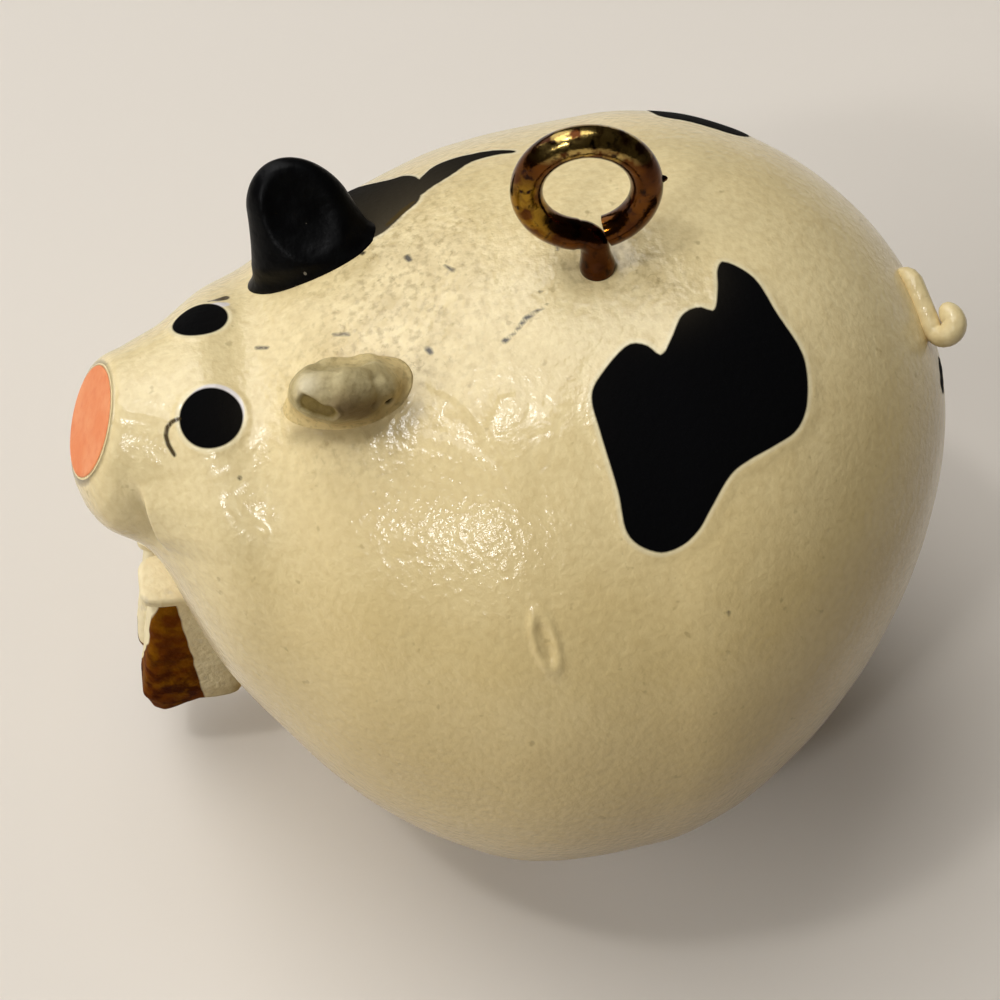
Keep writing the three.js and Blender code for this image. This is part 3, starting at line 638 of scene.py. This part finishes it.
for radius, proud in pad_rows:
    across = radius * np.cos(pad_angles)
    upward = radius * BODY_HEIGHT / BODY_WIDTH * np.sin(pad_angles)
    on_pad = np.outer(across, (1, 0, 0)) + np.outer(upward, snout_up)
    pad_rings.append(snout_middle + on_pad + proud * snout_out)
pig_snout = closed_skin("pig_snout", np.array(pad_rings))

# Matt salmon enamel over the cream: orange where it is thick, pinker and paler where the cream shows.
salmon, tree, shader, place = new_finish("salmon_enamel")
worn = speckle(tree, place, 1.6, 0.35, 0.7)
pink = mix(tree, worn, "#E88650", "#EE9A68")
pink = mix(tree, times(tree, speckle(tree, place, 0.5, 0.5, 0.7), 0.5), pink, "#E07540")
brushed = uneven_skin(tree, grain(tree, place, 0.5, 3.0), 0.03)
set_inputs(tree, shader, {"Base Color": pink, "Roughness": 0.5, "Normal": brushed})
pig_snout.data.materials.append(salmon)
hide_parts("snout_pad")
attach(pig_snout, "pig")

# The ears: two small leaves of filler, cupped inwards, pressed on the head and smoothed into it, then
# painted with the body. The left one is cream and chipped at its front, the right one black.
RIGHT_EAR_LENGTH, LEFT_EAR_LENGTH = 5.4, 3.9
EAR_BASE_BREADTH, EAR_TIP_BREADTH = 6.9, 4.6
EAR_BASE_THICKNESS, EAR_TIP_THICKNESS = 4.4, 2.4
EAR_TIP_FORWARD = 0.9
EAR_TIP_ROUNDING_SHARE = 0.44
RIGHT_EAR_LEAN_OUT, LEFT_EAR_LEAN_OUT = math.radians(32), math.radians(38)
EAR_LEAN_FORWARD = math.radians(7)
EAR_FLARE = 1.5
EAR_FOOT_BEND = 0.8
EAR_CUP_LENGTH_SHARE, EAR_CUP_BREADTH, EAR_CUP_SHARE = 0.95, 4.2, 0.49
RIGHT_EAR_CUP_DEPTH, LEFT_EAR_CUP_DEPTH = 0.55, 0.6
LEFT_EAR_WORN_SHARE, LEFT_EAR_BROAD_SHARE, LEFT_EAR_FOOT_SHARE = 1.25, 0.92, 0.22
EAR_FILLET = 0.8
EAR_FILLET_SPREAD = 0.3
EAR_ROWS = 60
EAR_SIDES = 120


def skin_height(points):
    """How high each point lies over the upper skin below it, in millimetres."""
    run = points[..., 1] - RUN_START
    angle = np.full(run.shape, math.pi / 2)
    for _ in range(8):
        here = skin(run, angle)
        lift = (here[..., 1] - RUN_START) - (points[..., 1] - RUN_START)
        run = run - 0.8 * lift
        half = np.maximum(np.abs(skin(run, np.zeros(run.shape))[..., 0]), 0.1)
        angle = np.arccos(np.clip(points[..., 0] / half, -0.98, 0.98))
    return points[..., 2] - skin(run, angle)[..., 2]


def ear_rings(side, run, offset, length, lean_out, cup_depth,
              thick_share=1.0, broad_share=1.0, foot_share=1.0):
    """The rings of an ear, from a hidden root under the skin up to its tip."""
    angle = math.acos(offset / float(half_width(np.array(run))))
    base = skin(run, angle)
    turn = Matrix.Rotation(side * lean_out, 3, "Y") @ Matrix.Rotation(EAR_LEAN_FORWARD, 3, "X")
    turn = np.array(turn)
    theta = np.linspace(0, 2 * math.pi, EAR_SIDES, endpoint=False)
    cos, sin = np.cos(theta), np.sin(theta)

    def leaf(height):
        """One ring of the ear, at a height over its base for each of its points."""
        share = np.clip(height / length, 0, 1)
        flare = (1 - share) ** EAR_FLARE
        tip = np.clip((share - 1) / EAR_TIP_ROUNDING_SHARE + 1, 0, 1)
        rounding = np.sqrt(np.maximum(1 - tip ** 2, 0.0004))
        breadth = (EAR_TIP_BREADTH + (EAR_BASE_BREADTH - EAR_TIP_BREADTH) * flare) / 2 * rounding
        foot = foot_share * (EAR_BASE_THICKNESS - EAR_TIP_THICKNESS) * flare
        thickness = (EAR_TIP_THICKNESS + foot) / 2 * rounding
        x = thick_share * thickness * cos
        y = broad_share * breadth * sin - EAR_TIP_FORWARD * share
        hollow = 1 - (2 * breadth * sin / EAR_CUP_BREADTH) ** 2
        hollow = np.clip(hollow - (2 * (share - EAR_CUP_SHARE) / EAR_CUP_LENGTH_SHARE) ** 2, 0, 1)
        hollow = hollow ** 2 * (3 - 2 * hollow)
        x = x + side * cup_depth * hollow * np.clip(-side * cos, 0, 1) ** 0.5
        above_base = (height + np.sqrt(height ** 2 + EAR_FOOT_BEND ** 2)) / 2
        points = np.stack([x, y, above_base + 0 * theta], axis=-1) @ turn.T + base
        points[:, 2] += height - above_base
        return points

    contact = np.full(EAR_SIDES, 0.0)
    for _ in range(12):
        contact = contact - 0.7 * skin_height(leaf(contact))
    rings = []
    for share in np.sin(np.linspace(0, math.pi / 2, EAR_ROWS)):
        height = contact + (length - contact) * share
        above = height - contact
        points = leaf(height)
        fillet = np.clip(1 - above / EAR_FILLET, 0, 1)
        spread = EAR_FILLET_SPREAD * fillet ** 2
        radial = np.stack([cos * EAR_BASE_THICKNESS, sin * EAR_BASE_BREADTH, 0 * cos], axis=-1)
        radial = radial / np.linalg.norm(radial, axis=-1, keepdims=True) @ turn.T
        points = points + radial * spread[:, None]
        points[:, 2] -= fillet * (skin_height(points) - above * 0.8) * fillet
        rings.append(points)
    root = rings[0] - np.array([0, 0, 0.5])
    return np.array([root] + rings)


left_rings = ear_rings(1, 13.2, 3.5, LEFT_EAR_LENGTH, LEFT_EAR_LEAN_OUT, LEFT_EAR_CUP_DEPTH,
                       LEFT_EAR_WORN_SHARE, LEFT_EAR_BROAD_SHARE, LEFT_EAR_FOOT_SHARE)
right_rings = ear_rings(-1, 12.5, -6.1, RIGHT_EAR_LENGTH, RIGHT_EAR_LEAN_OUT, RIGHT_EAR_CUP_DEPTH)
pig_right_ear = closed_skin("pig_right_ear", right_rings)

# The left ear is worn to a lumpy stub: three lobes with dents between them, a chip out of its front edge
# that bares the brown filler, and a small pit at the back.
FRONT_LOBE, TIP_LOBE, REAR_LOBE = (5.4, -11.6, 38.1), (6.2, -9.4, 37.7), (5.2, -7.2, 36.8)
CHIP_LINE = (6.0, -11.5, 37.2), (6.5, -10.6, 36.9)
UNDERSIDE_LINE = (6.5, -9.8, 37.2), (6.1, -8.7, 36.4)
REAR_DENT_LINE = (5.2, -8.1, 37.6), (5.8, -8.2, 36.4)
EAR_PIT = (5.35, -7.45, 36.0)


def from_line(points, start, end):
    """The distance of points from a straight line between two places, in millimetres."""
    start, end = np.array(start), np.array(end)
    along = np.clip((points - start) @ (end - start) / ((end - start) @ (end - start) + 1e-9), 0, 1)
    return np.linalg.norm(points - start - along[..., None] * (end - start), axis=-1)


chip = from_line(left_rings, *CHIP_LINE) + 0.12 * lumps(left_rings, 0.5, 7)
underside_dirt_and_shade = from_line(left_rings, *UNDERSIDE_LINE) + 0.2 * lumps(left_rings, 0.8, 8)
pit = from_line(left_rings, EAR_PIT, EAR_PIT)
lobe = from_line(left_rings, FRONT_LOBE, FRONT_LOBE)
worn = 0.3 * bump_over(lobe, 0.8) + 0.2 * bump_over(from_line(left_rings, TIP_LOBE, TIP_LOBE), 0.9)
worn += 0.3 * bump_over(from_line(left_rings, REAR_LOBE, REAR_LOBE), 0.9)
worn -= 0.25 * bump_over(from_line(left_rings, *REAR_DENT_LINE), 0.3)
worn -= 0.12 * np.clip(1 - (chip - 0.45) / 0.1, 0, 1)
worn += 0.12 * bump_over(chip - 0.62, 0.12) - 0.35 * bump_over(pit, 0.22)
worn += 0.16 * lumps(left_rings, 1.4, 9) + 0.05 * lumps(left_rings, 0.5, 10)
standing = np.clip(np.arange(left_rings.shape[0]) / 8, 0, 1)[:, None]
left_rings = raised(left_rings, worn * standing)
pig_left_ear = closed_skin("pig_left_ear", left_rings)
paint_layer(pig_left_ear, "chip", np.clip(1 + 0.5 - chip, 0, 2))
# Brown-grey dirt and painted shade on the underside of the tip.
paint_layer(pig_left_ear, "underside_dirt_and_shade", bump_over(underside_dirt_and_shade, 1.0))
paint_layer(pig_left_ear, "pit", np.clip(1 + 0.22 - pit, 0, 2))
paint_layer(pig_left_ear, "lobe", bump_over(lobe, 0.7))
rise = np.clip(np.arange(left_rings.shape[0]) / 16 - 0.3, 0, 1)
paint_layer(pig_left_ear, "rise", rise[:, None] + 0 * lobe)

# Chipped cream enamel gone grey with handling: paler on the front lobe as a painted highlight, brown filler
# in the chip, brown-grey dirt with painted shade under the tip, and painted shade in the pit.
chipped, tree, shader, place = new_finish("chipped_cream_enamel")
greyed = mix(tree, speckle(tree, place, 1.2, 0.35, 0.7), "#CDBD8E", "#B09D6C")
greyed = mix(tree, layer(tree, "rise"), CREAM_DEEP, greyed)
greyed = mix(tree, times(tree, speckle(tree, place, 0.35, 0.5, 0.7), 0.5), greyed, "#978458")
# Painted highlight: the front lobe is mixed paler.
greyed = mix(tree, times(tree, layer(tree, "lobe"), 0.8), greyed, "#E2D6B6")
# Brown-grey dirt and painted shade under the tip.
greyed = mix(tree, layer(tree, "underside_dirt_and_shade"), greyed, "#7E6A48")
greyed = mix(tree, layer_over(tree, "chip", 0.93, 1.05), greyed, "#83703E")
# Painted shade: the pit is mixed nearly black.
greyed = mix(tree, layer_over(tree, "pit", 0.95, 1.1), greyed, "#2C2212")
pebbled = uneven_skin(tree, grain(tree, place, PEEL_SIZE, 3.0), 0.08)
set_inputs(tree, shader, {
    "Base Color": greyed, "Roughness": 0.5, "Specular IOR Level": 0.2, "Normal": pebbled})
pig_left_ear.data.materials.append(chipped)

# Satin black enamel on the ear: deep black, with a grey bloom and a few pale nicks.
black_enamel, tree, shader, place = new_finish("black_oil_enamel")
bloom = speckle(tree, place, 1.2, 0.45, 0.75)
ink = mix(tree, bloom, BLACK_ENAMEL, "#08090A")
nick = speckle(tree, place, 0.4, 0.82, 0.84, 1.0)
ink = mix(tree, times(tree, nick, 0.6), ink, "#8F897C")
brushed = uneven_skin(tree, grain(tree, place, 0.7, 3.0), 0.06)
set_inputs(tree, shader, {
    "Base Color": ink, "Roughness": 0.4, "Specular IOR Level": 0.12, "Normal": brushed})
pig_right_ear.data.materials.append(black_enamel)
for piece, node, slot in ((pig_left_ear, "left_ear", "cream_paint"),
                          (pig_right_ear, "right_ear", "black_paint")):
    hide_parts(node)
    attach(piece, "pig")

# The legs: four short square pegs glued under the body and painted cream, with brown hooves brushed on
# below a little ledge. The front pair reaches down from the chin, the hind pair hides under the belly.
LEG_WIDTH = 3.2
LEG_DEPTH = 6.0
LEFT_HOOF_HEIGHT, RIGHT_HOOF_HEIGHT, HIND_HOOF_HEIGHT = 12.3, 2.4, 3.6
HOOF_TOE = 1.0
HOOF_LEDGE = 0.35
SOLE_CLEARANCE = 3.7
SOLE_ROUNDING = 0.7
TOE_HEIGHT = 2.1
FRONT_LEG_RUN, FRONT_LEG_APART, FRONT_LEG_TOP_RISE = 0.8, 3.7, -1.5
HIND_LEG_FROM_RUMP, HIND_LEG_APART, HIND_LEG_TOP_RISE = 11.0, 9.0, -2.0
LIP_HEIGHT = 1.0
LIP_ROUNDING = 0.25
HEEL_RISE = 1.2
LEG_SQUARENESS = 0.4
LEG_ROW_STEP = 0.16
LEG_SIDES = 96
HOOF_BACK_RUN = 2.55
HOOF_FRONT_RUN = 1.7
HOOF_BACK_SLOPE, HOOF_FRONT_SLOPE, HOOF_STRIP_SLOPE = 0.1, 0.32, 0.35
HOOF_STRIP, HOOF_STRIP_SET_BACK = 0.75, 0.9


def painted_leg(name, side, toe_run, apart, top, hoof_height, outer_only):
    """A leg whose hoof is painted all round up to its height, or only on the leg's outer side."""
    sole = SOLE_CLEARANCE
    ankle = sole + hoof_height
    lip = top - LIP_HEIGHT
    stations = np.array([
        (sole, HOOF_TOE, SOLE_ROUNDING),
        (sole + SOLE_ROUNDING * 0.3, HOOF_TOE * 0.6, SOLE_ROUNDING * 0.45),
        (sole + SOLE_ROUNDING, HOOF_TOE / 3, SOLE_ROUNDING / 5),
        (sole + TOE_HEIGHT, 0, 0),
        (lip - HOOF_LEDGE / 2, HOOF_TOE, HOOF_LEDGE),
        (lip, HOOF_TOE, HOOF_LEDGE),
        (lip + HOOF_LEDGE, HOOF_TOE - HOOF_LEDGE, 0),
        (top - LIP_ROUNDING, HOOF_TOE - HOOF_LEDGE, 0),
        (top - LIP_ROUNDING * 0.3, HOOF_TOE - HOOF_LEDGE * 0.8, LIP_ROUNDING * 0.3),
        (top, HOOF_TOE - HOOF_LEDGE / 2, LIP_ROUNDING),
    ])
    rises = np.unique(np.concatenate([np.arange(sole, top, LEG_ROW_STEP), stations[:, 0]]))
    fronts = np.interp(rises, stations[:, 0], stations[:, 1])
    insets = np.interp(rises, stations[:, 0], stations[:, 2])
    theta = np.linspace(0, 2 * math.pi, LEG_SIDES, endpoint=False)
    square = [np.sign(f) * np.abs(f) ** LEG_SQUARENESS for f in (np.cos(theta), np.sin(theta))]
    front_run = toe_run + fronts
    half_depth = (toe_run + LEG_DEPTH - front_run) / 2 - insets / 2
    x = side * apart / 2 + (LEG_WIDTH / 2 - insets)[:, None] * square[0]
    y = RUN_START + ((front_run + toe_run + LEG_DEPTH) / 2)[:, None] + half_depth[:, None] * square[1]
    points = np.stack([x, y, rises[:, None] + 0 * x], axis=-1)
    heel = np.clip((points[..., 1] - RUN_START - toe_run - 1.2) / 2.0, 0, 1)
    points[..., 2] += HEEL_RISE * heel * np.clip(1 - (points[..., 2] - sole) / 5, 0, 1)
    low_relief = 0.07 * lumps(points, 1.6, 4) + 0.03 * lumps(points, 0.6, 5)
    middle = points.mean(axis=1, keepdims=True)
    away = points - middle
    away[..., 2] = 0
    away /= np.linalg.norm(away, axis=-1, keepdims=True)
    points = points + away * low_relief[..., None]
    leg = closed_skin(name, points)
    down = ankle - points[..., 2]
    hoof = down - 0.15
    if outer_only:
        from_toe = points[..., 1] - RUN_START - toe_run
        hoof = np.minimum(hoof, HOOF_BACK_RUN + HOOF_BACK_SLOPE * down - from_toe)
        hoof = np.minimum(hoof, from_toe - HOOF_FRONT_RUN + HOOF_FRONT_SLOPE * down)
        front_strip = np.maximum(HOOF_STRIP, HOOF_STRIP_SLOPE * down - HOOF_STRIP_SET_BACK)
        hoof = np.minimum(hoof, side * points[..., 0] - apart / 2 - LEG_WIDTH / 2 + front_strip)
    paint_layer(leg, "hoof", np.clip(1 + hoof + 0.12 * lumps(points, 1.1, 6), 0, 2))
    return leg


# Hoof brown brushed thinly over the cream enamel: dark sienna that lets ochre through in mottles and grows
# darker towards the sole.
DARKENS_FROM, DARKEST_BELOW = 13.0, 7.0
hoofed, tree, shader, place = new_finish("cream_enamel_with_brown_hooves")
tone = speckle(tree, place, TONE_SIZE, 0.3, 0.7)
# The legs' cream is paler than the body's: painted light on the legs, which sit in the chin's shade.
cream = mix(tree, tone, "#FBEFC9", "#F3E3BA")
peel = speckle(tree, place, PEEL_SIZE, 0.35, 0.75, 2.0)
cream = mix(tree, times(tree, peel, 0.25), cream, CREAM_PEEL)
cream = mix(tree, times(tree, speckle(tree, place, 0.9, 0.6, 0.75), 0.5), cream, "#C9BDA8")
mottle = speckle(tree, place, 1.3, 0.42, 0.62, 2.0)
sienna = mix(tree, mottle, "#6C3606", "#875409")
height = add_node(tree, "ShaderNodeSeparateXYZ", {"Vector": place}).outputs["Z"]
# The sienna is mixed darker towards the sole.
low = ranged(tree, height, DARKENS_FROM, DARKEST_BELOW, 0.3, 1.0)
darker_low = times(tree, speckle(tree, place, 0.8, 0.42, 0.60, 3.0), low)
sienna = mix(tree, times(tree, darker_low, 0.9), sienna, "#3A1002")
cream = mix(tree, layer_over(tree, "hoof", soft_low, soft_high), cream, sienna)
set_inputs(tree, shader, {"Base Color": cream, "Roughness": 0.6, "Specular IOR Level": 0.02,
                          "Normal": uneven_skin(tree, peel, 0.03)})
for node, side, hoof_height in (("left", 1, LEFT_HOOF_HEIGHT), ("right", -1, RIGHT_HOOF_HEIGHT)):
    front = painted_leg("pig_front_%s_leg" % node, side, FRONT_LEG_RUN, FRONT_LEG_APART,
                        FRONT_LEG_TOP_RISE - TABLE_RISE, hoof_height, outer_only=side > 0)
    hind = painted_leg("pig_hind_%s_leg" % node, side, BODY_LENGTH - HIND_LEG_FROM_RUMP, HIND_LEG_APART,
                       HIND_LEG_TOP_RISE - TABLE_RISE, HIND_HOOF_HEIGHT, outer_only=False)
    for leg, end in ((front, "front"), (hind, "hind")):
        leg.data.materials.append(hoofed)
        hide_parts("%s_%s_leg" % (end, node))
        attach(leg, "pig")

# The tail: a thin roll of filler pressed on the rump, turned back on itself in a flat curl. It is painted
# cream together with the body.
TAIL_THICKNESS = 1.1
TAIL_ROOT_RUN, TAIL_ROOT_OFFSET = 42.8, -1.2
TAIL_TURN_RUN, TAIL_TURN_OFFSET = 43.5, 1.9
TAIL_CURL_RADIUS = 0.62
TAIL_BACK_LENGTH = 1.0
TAIL_LIE = 0.4
ROLL_SIDES = 20


def swept_wire(name, splines, thickness, sides, finish):
    """A mesh swept along lines of points in millimetres, with each point's share of the thickness."""
    curve = bpy.data.curves.new(name, "CURVE")
    curve.dimensions = "3D"
    for points, shares in splines:
        spline = curve.splines.new("POLY")
        spline.points.add(len(points) - 1)
        for knot, point, share in zip(spline.points, points, shares):
            knot.co = (*(np.array(point) * MM), 1)
            knot.radius = share
    route = bpy.data.objects.new(name + "_route", curve)
    scene.collection.objects.link(route)
    tree = bpy.data.node_groups.new(name, "GeometryNodeTree")
    sockets = {}
    kinds = {"Route": "Geometry", "Thickness": "Float", "Sides": "Int", "Finish": "Material"}
    for label, kind in kinds.items():
        sockets[label] = tree.interface.new_socket(label, in_out="INPUT", socket_type="NodeSocket" + kind)
    tree.interface.new_socket("Wire", in_out="OUTPUT", socket_type="NodeSocketGeometry")
    given = add_node(tree, "NodeGroupInput").outputs
    round_bar = add_node(tree, "GeometryNodeCurvePrimitiveCircle", {
        "Resolution": given["Sides"], "Radius": maths(tree, "MULTIPLY", given["Thickness"], 0.5)})
    share = add_node(tree, "GeometryNodeInputRadius").outputs["Radius"]
    swept = add_node(tree, "GeometryNodeCurveToMesh", {
        "Curve": given["Route"], "Profile Curve": round_bar.outputs["Curve"],
        "Scale": share, "Fill Caps": True})
    smooth = add_node(tree, "GeometryNodeSetShadeSmooth", {"Geometry": swept.outputs["Mesh"]})
    real = add_node(tree, "GeometryNodeRealizeInstances", {"Geometry": smooth.outputs["Geometry"]})
    dressed = add_node(tree, "GeometryNodeSetMaterial", {
        "Geometry": real.outputs["Geometry"], "Material": given["Finish"]})
    add_node(tree, "NodeGroupOutput", {"Wire": dressed.outputs["Geometry"]})
    sweep = route.modifiers.new("sweep", "NODES")
    sweep.node_group = tree
    sweep[sockets["Thickness"].identifier] = thickness * MM
    sweep[sockets["Sides"].identifier] = sides
    sweep[sockets["Finish"].identifier] = finish
    bpy.context.view_layer.update()
    mesh = bpy.data.meshes.new_from_object(route.evaluated_get(bpy.context.evaluated_depsgraph_get()))
    bpy.data.objects.remove(route)
    piece = bpy.data.objects.new(name, mesh)
    scene.collection.objects.link(piece)
    return piece


def skin_above(run, offset):
    """The place on the upper skin at a run and an offset to the pig's left."""
    return skin(run, math.acos(offset / float(half_width(np.array(run)))))


def unit(vector):
    """The vector with a length of one."""
    return vector / np.linalg.norm(vector)


tail_root = skin_above(TAIL_ROOT_RUN, TAIL_ROOT_OFFSET)
tail_turn = skin_above(TAIL_TURN_RUN, TAIL_TURN_OFFSET)
along = unit(tail_turn - tail_root)
lie_length = np.linalg.norm(tail_turn - tail_root)
outward = unit(np.cross(skin_above(TAIL_ROOT_RUN, 0.5) - skin_above(TAIL_ROOT_RUN, -0.5),
                        skin_above(TAIL_ROOT_RUN + 0.5, 0) - skin_above(TAIL_ROOT_RUN - 0.5, 0)))
outward = unit(outward - along * (outward @ along))
flat_route = [(-0.3, -0.3), (-0.2, -0.05), (0.0, 0.15), (0.25, 0.3)]
tail_shares = [0.1, 0.45, 0.75, 0.92]
flat_route += [(x, TAIL_LIE) for x in np.linspace(0.6, lie_length, 12)]
tail_shares += [1.0] * 12
for turn in np.linspace(-math.pi / 2, math.pi / 2, 14)[1:]:
    flat_route.append((lie_length + TAIL_CURL_RADIUS * math.cos(turn),
                       TAIL_LIE + TAIL_CURL_RADIUS * (1 + math.sin(turn))))
    tail_shares.append(1.0 + 0.22 * math.cos(turn - 0.6))
for back in np.linspace(0, 1, 9)[1:]:
    flat_route.append((lie_length - TAIL_BACK_LENGTH * back, TAIL_LIE + TAIL_CURL_RADIUS * (2 - 0.35 * back)))
    tail_shares.append(max(1.15 * math.sqrt(1 - back ** 2), 0.06))
tail_points = [tail_root + x * along + y * outward for x, y in flat_route]
pig_tail = swept_wire("pig_tail", [(tail_points, tail_shares)], TAIL_THICKNESS, ROLL_SIDES, enamel)
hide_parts("tail")
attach(pig_tail, "pig")

# The screw eye: bent from one brass wire, its point cut with a thread and screwed into the back by hand.
# Years of handling have browned it, with gold left where a finger or a cord rubs; that gold also stands
# where the streak of light falls on the ring's top and front, so it is partly a painted highlight.
EYE_OUTER_DIAMETER = 7.4
EYE_WIRE_DIAMETER = 1.45
RING_WIRE_SHARE = 1.1
EYE_STANDS_CLEAR = 1.3
EYE_BEND_RADIUS = 0.9
EYE_FREE_END_ANGLE = math.radians(-76)
EYE_TURN = math.radians(84)
SHANK_DEPTH = 9.0
SHANK_POINT_LENGTH = 1.6
THREAD_PITCH = 0.7
THREAD_TOP = -0.9
THREAD_SHARE = 0.2
WIRE_SIDES = 28
COLLAR_SHARE = 0.25
hinge = next(joint for joint in frame["record"]["behaviour"]["joints"] if joint["name"] == "screw_eye_turn")
eye_axis = Vector(hinge["axis"])
eye_place = Matrix.Translation(Vector(hinge["pos_m"]) / MM) @ (
    Vector((0, 0, 1)).rotation_difference(eye_axis).to_matrix() @ Matrix.Rotation(EYE_TURN, 3, "Z")).to_4x4()
ring_radius = (EYE_OUTER_DIAMETER - RING_WIRE_SHARE * EYE_WIRE_DIAMETER) / 2
ring_centre = EYE_STANDS_CLEAR + EYE_OUTER_DIAMETER / 2
neck_reach = ring_radius + EYE_BEND_RADIUS
bend_start = ring_centre - math.sqrt(neck_reach ** 2 - EYE_BEND_RADIUS ** 2)
bend_angle = math.acos(EYE_BEND_RADIUS / neck_reach)
wire = [(0, z) for z in np.linspace(-SHANK_DEPTH, bend_start, 40)]
wire += [(-EYE_BEND_RADIUS + EYE_BEND_RADIUS * math.cos(a), bend_start + EYE_BEND_RADIUS * math.sin(a))
         for a in np.linspace(0, bend_angle, 12)[1:]]
wire += [(ring_radius * math.cos(a), ring_centre + ring_radius * math.sin(a))
         for a in np.linspace(bend_angle + math.pi, EYE_FREE_END_ANGLE, 90)[1:]]
wire_points = [eye_place @ Vector((u, 0, z)) for u, z in wire]
wire_shares = [min(0.28 + 0.72 * (z + SHANK_DEPTH) / SHANK_POINT_LENGTH, 1) for _, z in wire[:40]]
wire_shares = [share + COLLAR_SHARE * math.exp(-(z / 0.6) ** 2) for share, (_, z) in zip(wire_shares, wire)]
wire_shares += [1] * 11 + [RING_WIRE_SHARE] * (len(wire) - 51)
turns = np.linspace(0, 1, 260)
thread_z = -SHANK_DEPTH + 0.6 + turns * (THREAD_TOP + SHANK_DEPTH - 0.6)
thread_reach = np.clip(0.28 + 0.72 * (thread_z + SHANK_DEPTH) / SHANK_POINT_LENGTH, 0, 1)
thread_reach = EYE_WIRE_DIAMETER / 2 * thread_reach
thread_turn = 2 * math.pi * thread_z / THREAD_PITCH
thread_points = [eye_place @ Vector((r * math.cos(t), r * math.sin(t), z))
                 for r, t, z in zip(thread_reach, thread_turn, thread_z)]
thread_shares = THREAD_SHARE * np.clip(np.minimum(turns, 1 - turns) / 0.05, 0.1, 1)
burr_reach = EYE_OUTER_DIAMETER / 2 + np.array([-0.3, 0.0, 0.16, 0.22])
burr_points = [eye_place @ Vector((u, 0, ring_centre)) for u in burr_reach]

# Tarnished drawn brass: dark brown oxide over yellow metal, shiny on the worn crowns and dull in the
# hollows. The paler gold on the ring's top and front is wear and partly a painted highlight.
RUBBED_HIGHLIT_STARTS, RUBBED_HIGHLIT_FULL = 1.6, 0.2
RUBBED_HIGHLIT_TOP, RUBBED_HIGHLIT_TOP_FULL = 45.2, 44.2
CROWN_HIGHLIT_STARTS, CROWN_HIGHLIT_FULL = 45.9, 46.5
aged_brass, tree, shader, place = new_finish("tarnished_brass")
oxide = speckle(tree, place, 1.5, 0.38, 0.6, 4.0)
brass = mix(tree, oxide, "#62380A", "#482405")
along_ring = add_node(tree, "ShaderNodeSeparateXYZ", {"Vector": place}).outputs
# Paler brass on the ring's front: wear, and partly a painted highlight where the streak of light falls.
rubbed_and_highlit = ranged(tree, along_ring["Y"], RUBBED_HIGHLIT_STARTS, RUBBED_HIGHLIT_FULL)
below_top = ranged(tree, along_ring["Z"], RUBBED_HIGHLIT_TOP, RUBBED_HIGHLIT_TOP_FULL)
rubbed_and_highlit = times(tree, times(tree, rubbed_and_highlit, below_top), speckle(tree, place, 1.0, 0.4, 0.55, 3.0))
brass = mix(tree, rubbed_and_highlit, brass, "#9C7620")
# Paler brass on the ring's top: wear, and partly a painted highlight where the streak of light falls.
crown_wear_and_highlight = ranged(tree, along_ring["Z"], CROWN_HIGHLIT_STARTS, CROWN_HIGHLIT_FULL)
crown_wear_and_highlight = times(tree, crown_wear_and_highlight, speckle(tree, place, 0.9, 0.42, 0.55, 3.0))
brass = mix(tree, crown_wear_and_highlight, brass, "#B79C5A")
spots = speckle(tree, place, 0.5, 0.56, 0.68, 3.0)
brass = mix(tree, spots, brass, "#241003")
set_inputs(tree, shader, {
    "Base Color": brass,
    "Metallic": 1.0,
    "Roughness": ranged(tree, oxide, 0, 1, 0.14, 0.22),
    "Normal": uneven_skin(tree, grain(tree, place, 0.5, 4.0), 0.03),
    "Coat Weight": 0.15,
    "Coat Roughness": 0.05,
})
brass_screw_eye = swept_wire("brass_screw_eye", [(wire_points, wire_shares), (thread_points, thread_shares),
                                                (burr_points, (0.4, 0.26, 0.16, 0.04))],
                             EYE_WIRE_DIAMETER, WIRE_SIDES, aged_brass)
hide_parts("screw_eye")
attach(brass_screw_eye, "screw_eye")
